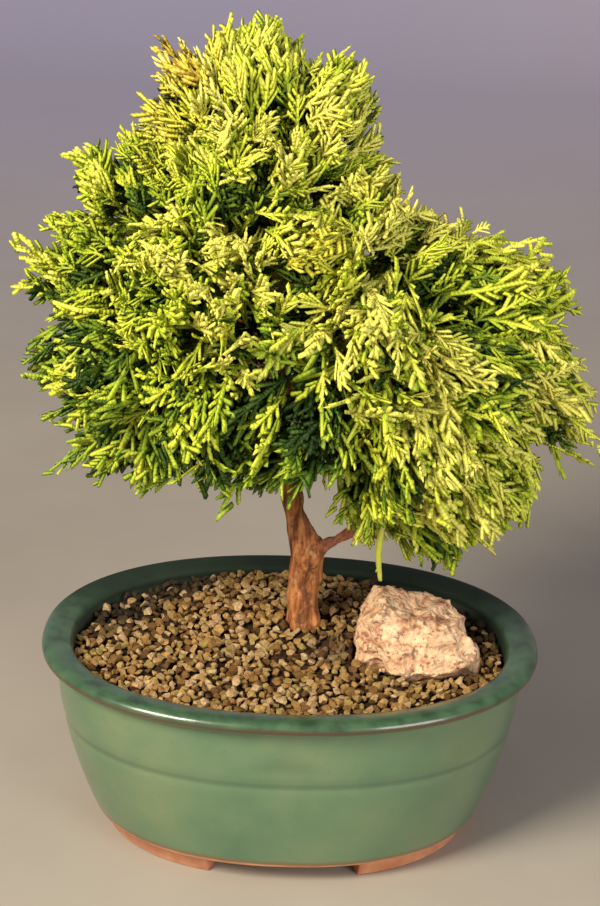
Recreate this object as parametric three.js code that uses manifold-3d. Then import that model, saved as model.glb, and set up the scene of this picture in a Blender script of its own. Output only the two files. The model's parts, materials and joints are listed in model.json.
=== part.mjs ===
// Hinoki cypress bonsai in a glazed oval pot. Millimetres, +Z up, pot length along X.
import * as THREE from "three";
import { mergeVertices } from "three/addons/utils/BufferGeometryUtils.js";
import Module from "manifold-3d";

const wasm = await Module();
wasm.setup();

// ---------- driving dimensions ----------
const seatGap = 0.3; // air under a piece that rests on another
const fitGap = 0.4; // air round a piece that stands in another

const potHeight = 82;
const ovalPower = 2.2; // superellipse exponent of every ring of the pot
const ovalSides = 38;
const rim = {
  halfLength: 101.5,
  halfWidth: 76,
  faceWidth: 12,
  rounding: 1.6,
  edgeBottom: 77,
  edgeTop: 78.5,
};
const wallTop = { halfLength: 95, halfWidth: 69.5, z: 76 };
const wallFoot = { halfLength: 80, halfWidth: 60.5, z: 9 };
const wallRings = 3;
const wallThickness = 7;
const floorTop = 15;
const insideLevels = [76, 58, 34, floorTop]; // heights where the inner wall bends
const underside = { halfLength: 74.5, halfWidth: 55, z: 7.5 };
const foot = { halfLength: 76.5, halfWidth: 57, taper: 1.5, width: 11, rootDepth: 1 };
const footSlot = { halfLength: 31, steps: 8 }; // the opening between the feet, front and back
const drain = { radius: 8, offset: 38, sides: 8, boreLength: 60 };
const screen = { side: 25, thickness: 1.2, slots: 4, slotLength: 19, slotWidth: 2.6 };

const gravelLevel = 73.5; // mean top of the grit at the pot's ends
const gravelDepth = 6;
const mound = { rise: 10, x: -5, y: 27, spreadX: 56, spreadY: 48 }; // heaped round the trunk
const grain = {
  step: 6.3, // side of the grid triangles; a grain is six of them
  shake: 1.26,
  peak: { low: 0.7, high: 2.4 }, // of the grain's middle over the mean level
  valley: { low: -1.9, high: -0.5 },
};
const soilTop = gravelLevel - gravelDepth;

const barkSides = 8;
const stemSides = 5;
const barkRoughness = 0.08;
const twigSides = 3;
const twig = {
  startRadius: 2,
  endRadius: 1.2,
  idealRise: 0.35, // share of its length that a twig climbs
  riseWeight: 1.2, // how much a wrong rise counts against a root place
  arch: 0.1, // rise of its middle, as a share of its length
  endInset: 0.1, // how far its end stops inside a spray's centre, as a share of its reach
  rootStep: 0.05, // step between the root places tried along a stem
};
const crownHeart = new THREE.Vector3(0, 8, 205); // sprays radiate from this point

const fan = {
  fingers: 4,
  spread: THREE.MathUtils.degToRad(115),
  lean: 0.4, // radians that a fan leans over its face
  halfThickness: 1.8, // at the hub, where the fingers meet
  hubShare: 0.25, // height of the hub and depth of the cuts between fingers,
  cutShare: 0.3, // as shares of the fan's reach
  fingerWidth: 3.4,
  droop: 0.15, // fall of a finger, as a share of its length
  shortest: 0.7,
  longest: 1.05,
  gap: 0.15, // between a fan and the walls of its face's sector
  fill: 0.96, // share of the free room that a point may take
  uneven: 0.15, // shake of the angles between the fingers
};
const core = { share: 0.5, rough: 0.1, fill: 0.9 }; // radius as a share of the spray's reach
const neighbourSpan = 1.3; // sprays further apart than this times their reaches never meet
const fansPerSpray = 10; // on the faces of the core that look outward most

const colours = {
  glaze: 0x4f7f67,
  plastic: 0x2a2c2a,
  soil: 0x3a2a1e,
  gravel: 0x9a7b55,
  stone: 0xb98d75,
  bark: 0x7d4427,
  gold: 0xb9c04a,
  green: 0x5f8433,
  bronze: 0x8f6a34,
};

// Centre line of the trunk, from the root stub up through the crown, with its radius.
const trunkLine = [
  { at: [6, 15, 44], radius: 5 },
  { at: [6, 15, 60], radius: 9.5 },
  { at: [6, 15, 74], radius: 7.9 },
  { at: [5.5, 14, 82], radius: 7.3 },
  { at: [5, 14, 96], radius: 6.6 },
  { at: [6, 14, 106], radius: 6.9 },
  { at: [6.5, 14, 113], radius: 7.8 },
  { at: [3.4, 14, 121], radius: 5.1 },
  { at: [0, 13, 132], radius: 4.2 },
  { at: [-2.5, 12, 146], radius: 3.5 },
];

// The leader goes on from the trunk's end and ends in the topmost spray.
const leaderLine = [
  { at: [-1.8, 12.3, 142], radius: 3.4 },
  { at: [-3.5, 11, 170], radius: 3.2 },
  { at: [-6, 10, 200], radius: 2.9 },
  { at: [-9, 10, 232], radius: 2.5 },
  { at: [-11, 9, 262], radius: 2.2 },
  { at: [-15, 7, 288], radius: 1.7 },
  { at: [-17, 6, 300], radius: 1.3 },
];

// The low limb leaves the knot, carries the right side of the crown and ends in its top spray.
const rightLimbLine = [
  { at: [8, 13, 111], radius: 4.6 },
  { at: [17, 9, 119], radius: 3.1 },
  { at: [27, 5, 129], radius: 2.7 },
  { at: [38, 4, 146], radius: 2.4 },
  { at: [48, 5, 166], radius: 2.1 },
  { at: [58, 6, 190], radius: 1.7 },
  { at: [69, 5, 216], radius: 1.3 },
];

// A single long shoot hangs from one low spray to just above the stone.
const shootLine = [
  { at: [32, -26, 162], radius: 1.3 },
  { at: [32.5, -18, 146], radius: 1.2 },
  { at: [31.5, -13, 130], radius: 1.1 },
  { at: [33.5, -10, 115], radius: 0.8 },
];
const shootSpray = "front_right_low";

// Name, centre, reach and colour of each spray of the crown.
const sprayPlan = [
  ["apex", [-18, 6, 305], 28, "gold"],
  ["apex_left", [-43, 4, 298], 22, "bronze"],
  ["apex_right", [7, 6, 295], 26, "gold"],
  ["high_left", [-48, 4, 272], 28, "gold"],
  ["high_front", [-20, -22, 274], 31, "gold"],
  ["high_right", [12, -8, 264], 28, "gold"],
  ["high_back", [-18, 36, 276], 31, "gold"],
  ["horn_left", [-76, 8, 267], 16, "gold"],
  ["shoulder_front", [0, -38, 248], 29, "gold"],
  ["shoulder_left", [-38, -40, 240], 34, "gold"],
  ["shoulder_right", [42, 0, 238], 28, "gold"],
  ["shoulder_back_left", [-48, 44, 248], 32, "gold"],
  ["shoulder_back_right", [14, 46, 246], 30, "gold"],
  ["left_upper", [-76, 4, 232], 30, "gold"],
  ["right_upper", [74, 4, 224], 30, "gold"],
  ["front_right_upper", [26, -46, 222], 31, "gold"],
  ["front_far_right", [58, -32, 208], 31, "gold"],
  ["back_upper", [-12, 66, 228], 33, "gold"],
  ["back_left_middle", [-64, 44, 210], 32, "green"],
  ["back_right_middle", [56, 42, 216], 32, "gold"],
  ["left_middle", [-76, -6, 200], 29, "green"],
  ["left_front_middle", [-60, -36, 208], 28, "gold"],
  ["front_left_middle", [-28, -48, 200], 31, "gold"],
  ["front_middle", [6, -48, 196], 28, "green"],
  ["front_centre", [-6, -42, 224], 25, "green"],
  ["front_right_middle", [40, -48, 188], 29, "gold"],
  ["right_middle", [84, 4, 190], 29, "gold"],
  ["back_middle", [22, 66, 198], 34, "gold"],
  ["back_left_low", [-32, 62, 186], 33, "green"],
  ["left_low", [-55, -16, 177], 27, "green"],
  ["left_back_low", [-64, 30, 178], 28, "green"],
  ["front_low", [-16, -30, 180], 23, "green"],
  ["right_front_low", [64, -26, 166], 29, "gold"],
  ["right_back_low", [66, 36, 176], 31, "green"],
  ["back_low", [10, 50, 168], 28, "green"],
  ["front_right_low", [32, -28, 168], 23, "green"],
  ["hanging_right", [56, -16, 148], 22, "gold"],
  ["hanging_far_right", [78, 4, 156], 24, "gold"],
];

// ---------- helpers ----------
// Repeatable random numbers between 0 and 1 (mulberry32).
function seededRandom(seed) {
  let state = seed;
  return () => {
    state = (state + 0x6d2b79f5) | 0;
    let t = Math.imul(state ^ (state >>> 15), 1 | state);
    t = (t + Math.imul(t ^ (t >>> 7), 61 | t)) ^ t;
    return ((t ^ (t >>> 14)) >>> 0) / 4294967296;
  };
}

function between(random, low, high) {
  return low + (high - low) * random();
}

function geometryFrom(points, faces) {
  const geometry = new THREE.BufferGeometry();
  const flat = points.flatMap((point) => [point.x, point.y, point.z]);
  geometry.setAttribute("position", new THREE.Float32BufferAttribute(flat, 3));
  geometry.setIndex(faces.flat());
  return geometry;
}

// A closed solid for cutting and joining, from any closed geometry.
function solidFrom(geometry) {
  const bare = geometry.clone();
  bare.deleteAttribute("normal");
  bare.deleteAttribute("uv");
  const merged = mergeVertices(bare, 1e-4);
  return new wasm.Manifold(new wasm.Mesh({
    numProp: 3,
    vertProperties: new Float32Array(merged.attributes.position.array),
    triVerts: new Uint32Array(merged.index.array),
  }));
}

function geometryOf(solid) {
  const { vertProperties, triVerts, numProp } = solid.getMesh();
  const geometry = new THREE.BufferGeometry();
  const positions = new Float32Array((vertProperties.length / numProp) * 3);
  for (let i = 0; i < positions.length / 3; i += 1) {
    positions.set(vertProperties.subarray(i * numProp, i * numProp + 3), i * 3);
  }
  geometry.setAttribute("position", new THREE.BufferAttribute(positions, 3));
  geometry.setIndex(Array.from(triVerts));
  return geometry;
}

// Corners and faces of an icosahedron of radius 1, with each side cut in detail + 1.
function icosaBall(detail) {
  const ball = new THREE.IcosahedronGeometry(1, detail);
  ball.deleteAttribute("normal");
  ball.deleteAttribute("uv");
  const { attributes, index } = mergeVertices(ball, 1e-4);
  const corners = Array.from({ length: attributes.position.count }, (_, i) =>
    new THREE.Vector3().fromBufferAttribute(attributes.position, i).normalize());
  const faces = [];
  for (let i = 0; i < index.count; i += 3) {
    faces.push([0, 1, 2].map((k) => index.getX(i + k)));
  }
  return { corners, faces };
}

// The biggest of the loose bodies that a cut may leave.
function largestBody(solid) {
  const bodies = solid.decompose();
  return bodies.reduce((best, body) => (body.volume() > best.volume() ? body : best));
}

// Skin over equal rings of points, closed by a fan at each end.
function loft(rings) {
  const count = rings[0].length;
  const faces = [];
  for (let r = 0; r + 1 < rings.length; r += 1) {
    for (let i = 0; i < count; i += 1) {
      const here = r * count + i;
      const next = r * count + ((i + 1) % count);
      faces.push([here, next, next + count], [here, next + count, here + count]);
    }
  }
  const last = (rings.length - 1) * count;
  for (let i = 1; i + 1 < count; i += 1) {
    faces.push([0, i + 1, i], [last, last + i, last + i + 1]);
  }
  return solidFrom(geometryFrom(rings.flat(), faces));
}

function signedPower(value, power) {
  return Math.sign(value) * Math.abs(value) ** power;
}

function ovalPoint(halfLength, halfWidth, z, angle) {
  const power = 2 / ovalPower;
  return new THREE.Vector3(
    halfLength * signedPower(Math.cos(angle), power),
    halfWidth * signedPower(Math.sin(angle), power),
    z,
  );
}

function ovalRing([halfLength, halfWidth, z]) {
  return Array.from({ length: ovalSides }, (_, i) =>
    ovalPoint(halfLength, halfWidth, z, ((i + 0.5) / ovalSides) * 2 * Math.PI));
}

// Round limb along a line of { at, radius }; its end rings are flat.
function limbSolid(line, sides, extra = 0, roughness = 0, random = () => 0.5) {
  const points = line.map(({ at }) => new THREE.Vector3(...at));
  let across = new THREE.Vector3(1, 0, 0);
  const rings = points.map((point, i) => {
    const before = points[Math.max(i - 1, 0)];
    const after = points[Math.min(i + 1, points.length - 1)];
    const along = after.clone().sub(before).normalize();
    across = across.clone().addScaledVector(along, -across.dot(along)).normalize();
    const side = new THREE.Vector3().crossVectors(along, across);
    const isEnd = i === 0 ? -1 : Number(i === points.length - 1);
    const centre = point.clone().addScaledVector(along, extra * isEnd);
    return Array.from({ length: sides }, (_, k) => {
      const angle = (k / sides) * 2 * Math.PI;
      const uneven = 1 + roughness * (2 * random() - 1);
      const radius = line[i].radius * uneven + extra / Math.cos(Math.PI / sides);
      return centre.clone()
        .addScaledVector(across, radius * Math.cos(angle))
        .addScaledVector(side, radius * Math.sin(angle));
    });
  });
  return loft(rings);
}

// ---------- pot ----------
function wallSection(share) {
  const swell = Math.sin((share * Math.PI) / 2) ** 0.9;
  return [
    THREE.MathUtils.lerp(wallFoot.halfLength, wallTop.halfLength, swell),
    THREE.MathUtils.lerp(wallFoot.halfWidth, wallTop.halfWidth, swell),
    THREE.MathUtils.lerp(wallFoot.z, wallTop.z, share),
  ];
}

// Inside of the pot, straight between its levels and upright above them, less a gap.
function insideSection(z, gap = 0) {
  const sections = insideLevels.map((level) =>
    wallSection((level - wallFoot.z) / (wallTop.z - wallFoot.z)));
  let i = insideLevels.findIndex((level) => level <= z);
  i = Math.max(i, 1);
  const share = Math.min((z - insideLevels[i]) / (insideLevels[i - 1] - insideLevels[i]), 1);
  const [halfLength, halfWidth] = [0, 1].map((k) =>
    THREE.MathUtils.lerp(sections[i][k], sections[i - 1][k], share));
  return [halfLength - wallThickness - gap, halfWidth - wallThickness - gap, z];
}

// One foot: an arc of the oval under the floor, open at the front and the back.
function footSolid(side) {
  const slotAngle = Math.acos((footSlot.halfLength / foot.halfLength) ** (ovalPower / 2));
  const rings = [];
  const { halfLength, halfWidth, taper, width } = foot;
  const top = wallFoot.z + foot.rootDepth;
  for (let i = 0; i <= footSlot.steps; i += 1) {
    const angle = THREE.MathUtils.lerp(-slotAngle, slotAngle, i / footSlot.steps);
    const turned = side > 0 ? angle : angle + Math.PI;
    rings.push([
      ovalPoint(halfLength - taper, halfWidth - taper, 0, turned),
      ovalPoint(halfLength, halfWidth, top, turned),
      ovalPoint(halfLength - width, halfWidth - width, top, turned),
      ovalPoint(halfLength - width, halfWidth - width, 0, turned),
    ]);
  }
  return loft(rings.map((ring) => ring.reverse()));
}

function potSolid() {
  const { halfLength, halfWidth, faceWidth, rounding, edgeBottom, edgeTop } = rim;
  const outer = Array.from({ length: wallRings + 1 }, (_, i) => wallSection(i / wallRings));
  const inner = insideLevels.map((z) => insideSection(z));
  const rings = [
    [underside.halfLength, underside.halfWidth, underside.z],
    ...outer,
    [halfLength - rounding / 2, halfWidth - rounding / 2, edgeBottom],
    [halfLength, halfWidth, edgeTop],
    [halfLength - rounding, halfWidth - rounding, potHeight],
    [halfLength - faceWidth, halfWidth - faceWidth, potHeight],
    ...inner,
  ];
  let pot = loft(rings.map(ovalRing)).add(footSolid(1)).add(footSolid(-1));
  for (const side of [-1, 1]) {
    const { radius, sides, boreLength } = drain;
    const bore = new THREE.CylinderGeometry(radius, radius, boreLength, sides);
    bore.rotateX(Math.PI / 2).translate(side * drain.offset, 0, 0);
    pot = pot.subtract(solidFrom(bore));
  }
  return pot;
}

// Plastic screen over a drain hole: a square with a row of slots.
function screenGeometry(side) {
  const half = screen.side / 2;
  const outline = new THREE.Shape([
    new THREE.Vector2(-half, -half),
    new THREE.Vector2(half, -half),
    new THREE.Vector2(half, half),
    new THREE.Vector2(-half, half),
  ]);
  const pitch = screen.side / (screen.slots + 1);
  for (let i = 1; i <= screen.slots; i += 1) {
    const y = -half + i * pitch;
    const [w, h] = [screen.slotLength / 2, screen.slotWidth / 2];
    outline.holes.push(new THREE.Path([
      new THREE.Vector2(-w, y - h),
      new THREE.Vector2(-w, y + h),
      new THREE.Vector2(w, y + h),
      new THREE.Vector2(w, y - h),
    ]));
  }
  const geometry = new THREE.ExtrudeGeometry(outline, { depth: screen.thickness, bevelEnabled: false });
  return geometry.translate(side * drain.offset, 0, floorTop + seatGap);
}

// ---------- stone ----------
// Flat faces of the stone: direction of each face and its distance from the stone's heart.
const stoneHeart = new THREE.Vector3(50, -2.5, 84.8);
const stoneFaces = [
  [[0, 0, -1], 13.3],
  [[-0.98, 0, 0.2], 22],
  [[-0.75, 0.1, 0.65], 27],
  [[0.26, -0.15, 0.95], 12.4],
  [[0.68, -0.1, 0.72], 17.4],
  [[0.95, 0, 0.28], 24],
  [[0.05, -0.93, 0.37], 17],
  [[-0.6, -0.78, 0.15], 21],
  [[0.72, -0.65, 0.2], 25.2],
  [[0, 1, 0.2], 15],
  [[0.7, 0.7, 0.2], 21],
  [[-0.7, 0.7, 0.2], 20],
];
const stoneDetail = 2;
const stoneRoughness = 0.05;
const undersideSlope = -0.6; // rays steeper than this end on the stone's flat underside
const grazing = 0.05; // a face turned further from a ray than this can't end it
const seatClearance = 0.6;

const stoneNormals = stoneFaces.map(([direction, distance]) =>
  [new THREE.Vector3(...direction).normalize(), distance]);

// How far the stone reaches along a ray from its heart.
function stoneReach(ray) {
  let reach = Infinity;
  for (const [normal, distance] of stoneNormals) {
    const facing = ray.dot(normal);
    if (facing > grazing) reach = Math.min(reach, distance / facing);
  }
  return reach;
}

function stoneSolid() {
  const random = seededRandom(11);
  const { corners, faces } = icosaBall(stoneDetail);
  const points = corners.map((ray) => {
    const isUnderside = ray.z < undersideSlope;
    const pitted = 1 - stoneRoughness * random() * Number(!isUnderside);
    return ray.clone().multiplyScalar(stoneReach(ray) * pitted).add(stoneHeart);
  });
  return solidFrom(geometryFrom(points, faces));
}

// Straight-sided hollow in the grit, just wider than the part of the stone that stands in it.
function stoneSeat(stone) {
  const bottom = stoneHeart.z - stoneFaces[0][1] - seatGap;
  const sunk = stone.trimByPlane([0, 0, -1], -potHeight);
  const outline = sunk.project().hull().offset(seatClearance, "Miter");
  return outline.extrude(potHeight + mound.rise - bottom).translate([0, 0, bottom]);
}

// ---------- soil and grit ----------
function soilSolid(trunkHole) {
  const bottom = floorTop + screen.thickness + 2 * seatGap;
  const levels = [bottom, insideLevels[2], insideLevels[1], soilTop];
  return loft(levels.map((z) => ovalRing(insideSection(z, fitGap)))).subtract(trunkHole);
}

// Rise of the heap of grit over its level at the pot's ends.
function moundRise(x, y) {
  const away = ((x - mound.x) / mound.spreadX) ** 2 + ((y - mound.y) / mound.spreadY) ** 2;
  return mound.rise * Math.exp(-away);
}

// Oblong slab whose top is a shaken triangle grid with one peak for each grain.
function grainSlab(bottom) {
  const random = seededRandom(5);
  const { step, shake, peak, valley } = grain;
  const rows = 2 * Math.ceil(rim.halfWidth / step);
  const columns = 2 * Math.ceil(rim.halfLength / step);
  const points = [];
  for (let row = 0; row <= rows; row += 1) {
    for (let column = 0; column <= columns; column += 1) {
      const isPeak = (column - Math.floor(row / 2) - row + 3 * rows) % 3 === 0;
      const { low, high } = isPeak ? peak : valley;
      const x = (column - columns / 2 + 0.5 * (row % 2)) * step;
      const y = (row - rows / 2) * step * Math.sin(Math.PI / 3);
      points.push(new THREE.Vector3(
        x + between(random, -shake, shake),
        y + between(random, -shake, shake),
        gravelLevel + moundRise(x, y) + between(random, low, high),
      ));
    }
  }
  const at = (row, column) => row * (columns + 1) + column;
  const faces = [];
  for (let row = 0; row < rows; row += 1) {
    for (let column = 0; column < columns; column += 1) {
      const [a, b] = [at(row, column), at(row, column + 1)];
      const [c, d] = [at(row + 1, column), at(row + 1, column + 1)];
      if (row % 2 === 0) faces.push([a, b, c], [b, d, c]);
      else faces.push([a, b, d], [a, d, c]);
    }
  }
  const edge = [];
  for (let column = 0; column < columns; column += 1) edge.push(at(0, column));
  for (let row = 0; row < rows; row += 1) edge.push(at(row, columns));
  for (let column = columns; column > 0; column -= 1) edge.push(at(rows, column));
  for (let row = rows; row > 0; row -= 1) edge.push(at(row, 0));
  const firstLow = points.length;
  edge.forEach((top) => points.push(points[top].clone().setZ(bottom)));
  const middle = points.push(new THREE.Vector3(0, 0, bottom)) - 1;
  edge.forEach((top, i) => {
    const j = (i + 1) % edge.length;
    faces.push([top, firstLow + i, firstLow + j], [top, firstLow + j, edge[j]]);
    faces.push([middle, firstLow + j, firstLow + i]);
  });
  return solidFrom(geometryFrom(points, faces));
}

function gravelSolid(trunkHole, stone) {
  const bottom = soilTop + seatGap;
  const top = potHeight + mound.rise;
  const levels = [bottom - 1, ...insideLevels.filter((z) => z > bottom), top];
  const fill = loft(levels.map((z) => ovalRing(insideSection(z, fitGap))));
  const grit = grainSlab(bottom).intersect(fill).subtract(trunkHole).subtract(stoneSeat(stone));
  return largestBody(grit);
}

// ---------- trunk and limbs ----------
// A point on a line of { at, radius } at a share of its length of points.
function pointOn(line, share) {
  const place = share * (line.length - 1);
  const i = Math.min(Math.floor(place), line.length - 2);
  const [a, b] = [line[i], line[i + 1]].map(({ at }) => new THREE.Vector3(...at));
  return a.lerp(b, place - i);
}

// The twig that carries a spray leaves the nearest stem below it and ends inside its core.
function twigLine(spray) {
  let best = null;
  for (const line of [leaderLine, rightLimbLine.slice(3)]) {
    for (let share = 0; share <= 1; share += twig.rootStep) {
      const from = pointOn(line, share);
      const span = from.distanceTo(spray.centre);
      const rise = spray.centre.z - from.z;
      const badness = span + twig.riseWeight * Math.abs(rise - twig.idealRise * span);
      if (!best || badness < best.badness) best = { from, badness };
    }
  }
  const end = spray.centre.clone().addScaledVector(spray.outward, -twig.endInset * spray.reach);
  const bend = best.from.clone().lerp(end, 0.5);
  bend.z += twig.arch * best.from.distanceTo(end);
  return [best.from, bend, end].map((point, i) => ({
    at: point.toArray(),
    radius: THREE.MathUtils.lerp(twig.startRadius, twig.endRadius, i / 2),
  }));
}

// ---------- sprays of foliage ----------
function spraysOfTheCrown() {
  return sprayPlan.map(([name, at, reach, colour]) => {
    const centre = new THREE.Vector3(...at);
    const outward = centre.clone().sub(crownHeart).normalize();
    return { name, centre, reach, colour, outward };
  });
}

// Walls between a spray and its neighbours, each a plane that both stay behind.
function cellOf(spray, all) {
  const walls = [];
  for (const other of all) {
    const apart = spray.centre.distanceTo(other.centre);
    if (other === spray || apart > neighbourSpan * (spray.reach + other.reach)) continue;
    const normal = other.centre.clone().sub(spray.centre).divideScalar(apart);
    const distance = (apart ** 2 + spray.reach ** 2 - other.reach ** 2) / (2 * apart);
    walls.push({ normal, distance: distance - fitGap / 2 });
  }
  return walls;
}

// How far a ray from a point can run before it leaves the spray's cell.
function roomAlong(from, direction, spray) {
  let room = Infinity;
  for (const { normal, distance } of spray.walls) {
    const closing = direction.dot(normal);
    const left = distance - from.clone().sub(spray.centre).dot(normal);
    if (closing > 1e-6) room = Math.min(room, left / closing);
  }
  return Math.max(room, 0);
}

// One fan of blunt fingers on the core's face a-b-c. It is rooted on the edge a-b, leans a
// little over c, stays inside the sector above its face, and has a low peak on each side.
function addFan(points, faces, [a, b, c], spray, random) {
  const [rootA, rootB, rootC] = [a, b, c].map((i) => points[i]);
  const middle = rootA.clone().add(rootB).multiplyScalar(0.5);
  const across = rootB.clone().sub(rootA).normalize();
  const radial = middle.clone().sub(spray.centre).normalize();
  const overFace = rootC.clone().sub(middle);
  overFace.addScaledVector(radial, -overFace.dot(radial)).normalize();
  const up = radial.clone().multiplyScalar(Math.cos(fan.lean))
    .addScaledVector(overFace, Math.sin(fan.lean));
  const front = new THREE.Vector3().crossVectors(across, up).normalize();

  const sector = [[rootA, rootB], [rootB, rootC], [rootC, rootA]].map(([p, q]) => {
    const [fromP, fromQ] = [p, q].map((root) => root.clone().sub(spray.centre));
    return { normal: fromQ.cross(fromP).normalize(), distance: -fan.gap };
  });
  const bounds = { centre: spray.centre, walls: [...spray.walls, ...sector] };
  const reach = spray.reach - middle.distanceTo(spray.centre);
  const hubHeight = Math.min(fan.hubShare * reach, 0.5 * roomAlong(middle, up, spray));
  const hub = middle.clone().addScaledVector(up, hubHeight);
  const addPoint = (direction, length) => {
    const run = Math.min(length, fan.fill * roomAlong(hub, direction, bounds));
    return points.push(hub.clone().addScaledVector(direction, run)) - 1;
  };
  const inPlane = (angle) => up.clone().multiplyScalar(Math.cos(angle))
    .addScaledVector(across, -Math.sin(angle))
    .add(new THREE.Vector3(0, 0, -fan.droop));

  const outline = [];
  const pitch = fan.spread / (fan.fingers - 1);
  for (let i = 0; i < fan.fingers; i += 1) {
    const angle = -fan.spread / 2 + (i + between(random, -fan.uneven, fan.uneven)) * pitch;
    const length = reach * between(random, fan.shortest, fan.longest);
    const halfTip = fan.fingerWidth / 2 / length;
    outline.push(addPoint(inPlane(angle - halfTip), length));
    outline.push(addPoint(inPlane(angle + halfTip), length));
    if (i < fan.fingers - 1) {
      outline.push(addPoint(inPlane(angle + 0.5 * pitch), fan.cutShare * reach));
    }
  }
  const onFront = addPoint(front, fan.halfThickness);
  const onBack = addPoint(front.clone().negate(), fan.halfThickness);
  const frontLoop = [a, b, ...outline];
  const backLoop = [b, c, a, ...outline.reverse()];
  frontLoop.forEach((x, i) => faces.push([x, frontLoop[(i + 1) % frontLoop.length], onFront]));
  backLoop.forEach((x, i) => faces.push([x, backLoop[(i + 1) % backLoop.length], onBack]));
}

// A spray: a small twenty-faced core with a fan of fingers on each face that looks outward.
function spraySolid(spray, random) {
  const ball = icosaBall(0);
  const spin = new THREE.Euler(...[0, 0, 0].map(() => between(random, 0, 2 * Math.PI)));
  const rays = ball.corners.map((corner) => corner.applyEuler(spin));
  const points = rays.map((ray) => {
    const room = core.fill * roomAlong(spray.centre, ray, spray);
    const radius = core.share * spray.reach * between(random, 1 - core.rough, 1 + core.rough);
    const run = Math.min(radius, room);
    return ray.clone().multiplyScalar(run).add(spray.centre);
  });
  const facing = rays.map((ray) => ray.dot(spray.outward));
  const outwardness = (corners) => corners.reduce((sum, k) => sum + facing[k], 0);
  ball.faces.sort((p, q) => outwardness(q) - outwardness(p));
  const faces = ball.faces.slice(fansPerSpray);
  for (const corners of ball.faces.slice(0, fansPerSpray)) {
    const [lowest] = [...corners].sort((p, q) => facing[p] - facing[q]);
    const first = corners.indexOf(lowest) + 1;
    const [a, b, c] = [0, 1, 2].map((step) => corners[(first + step) % 3]);
    addFan(points, faces, [a, b, c], spray, random);
  }
  return solidFrom(geometryFrom(points, faces));
}

// ---------- assembly ----------
const plant = new THREE.Group();

function addPiece(name, shape, colour, roughness) {
  const geometry = shape.isBufferGeometry ? shape : geometryOf(shape);
  const material = new THREE.MeshStandardMaterial({ color: colours[colour], roughness });
  const mesh = new THREE.Mesh(geometry, material);
  mesh.name = name;
  plant.add(mesh);
}

const random = seededRandom(2024);
const sprays = spraysOfTheCrown();
sprays.forEach((spray) => {
  spray.walls = cellOf(spray, sprays);
});

const stems = [leaderLine, rightLimbLine];
const stemEnds = ["apex", "right_upper"]; // sprays that a stem itself ends in
const twigs = sprays.filter(({ name }) => !stemEnds.includes(name)).map(twigLine);
let trunk = limbSolid(trunkLine, barkSides, 0, barkRoughness, random);
stems.forEach((line) => {
  trunk = trunk.add(limbSolid(line, stemSides));
});
twigs.forEach((line) => {
  trunk = trunk.add(limbSolid(line, twigSides));
});
const barkSwell = barkRoughness * Math.max(...trunkLine.map(({ radius }) => radius));
const trunkHole = limbSolid(trunkLine, barkSides, fitGap + barkSwell);
const stone = stoneSolid();
const sleeves = stems.map((line) => limbSolid(line, stemSides, fitGap))
  .concat(twigs.map((line) => limbSolid(line, twigSides, fitGap)));

addPiece("pot", potSolid(), "glaze", 0.25);
addPiece("drain_screen_left", screenGeometry(-1), "plastic", 0.6);
addPiece("drain_screen_right", screenGeometry(1), "plastic", 0.6);
addPiece("soil", soilSolid(trunkHole), "soil", 0.95);
addPiece("gravel", gravelSolid(trunkHole, stone), "gravel", 0.9);
addPiece("stone", stone, "stone", 0.9);
addPiece("trunk", trunk, "bark", 0.85);
sprays.forEach((spray) => {
  let solid = spraySolid(spray, random);
  if (spray.name === shootSpray) solid = solid.add(limbSolid(shootLine, stemSides));
  for (const sleeve of sleeves) {
    if (solid.intersect(sleeve).volume() > 0) solid = largestBody(solid.subtract(sleeve));
  }
  addPiece(`spray_${spray.name}`, solid, spray.colour, 0.6);
});

// The origin is the middle of the underside of the whole part's box.
const box = new THREE.Box3().setFromObject(plant);
const middle = box.getCenter(new THREE.Vector3());
plant.position.set(-middle.x, -middle.y, -box.min.z);

export default plant;
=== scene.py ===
import json
import math
import random

import bmesh
import bpy
import numpy as np
from mathutils import Matrix, Vector, noise

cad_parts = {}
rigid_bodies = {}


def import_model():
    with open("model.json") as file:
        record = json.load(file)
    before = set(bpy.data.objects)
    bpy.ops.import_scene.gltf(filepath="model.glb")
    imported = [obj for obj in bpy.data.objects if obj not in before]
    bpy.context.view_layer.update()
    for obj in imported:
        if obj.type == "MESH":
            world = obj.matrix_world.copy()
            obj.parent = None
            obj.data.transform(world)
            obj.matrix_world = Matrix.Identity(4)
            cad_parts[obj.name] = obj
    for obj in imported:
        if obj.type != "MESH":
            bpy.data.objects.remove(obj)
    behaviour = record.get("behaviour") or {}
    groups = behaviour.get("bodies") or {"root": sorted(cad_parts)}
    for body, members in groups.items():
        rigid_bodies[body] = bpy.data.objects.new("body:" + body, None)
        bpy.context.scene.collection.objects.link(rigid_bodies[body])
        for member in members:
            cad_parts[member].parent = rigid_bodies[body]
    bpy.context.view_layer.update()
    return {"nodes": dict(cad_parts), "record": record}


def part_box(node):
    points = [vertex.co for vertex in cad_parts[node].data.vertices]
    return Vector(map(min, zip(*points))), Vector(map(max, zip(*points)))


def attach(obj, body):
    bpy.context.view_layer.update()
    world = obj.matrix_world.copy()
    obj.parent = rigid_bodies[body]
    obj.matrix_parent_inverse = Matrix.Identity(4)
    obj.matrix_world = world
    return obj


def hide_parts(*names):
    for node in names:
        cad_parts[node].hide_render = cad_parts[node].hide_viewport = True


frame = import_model()
potLow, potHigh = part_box("pot")
potFoot = Vector(((potLow.x + potHigh.x) / 2, (potLow.y + potHigh.y) / 2, potLow.z))
print("frame loaded:", len(frame["nodes"]), "nodes")


def newMesh(name, points, faces):
    mesh = bpy.data.meshes.new(name)
    mesh.from_pydata([tuple(p) for p in points], [], faces)
    mesh.update()
    return mesh


def newPiece(name, mesh):
    piece = bpy.data.objects.new(name, mesh)
    bpy.context.scene.collection.objects.link(piece)
    return piece


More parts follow.
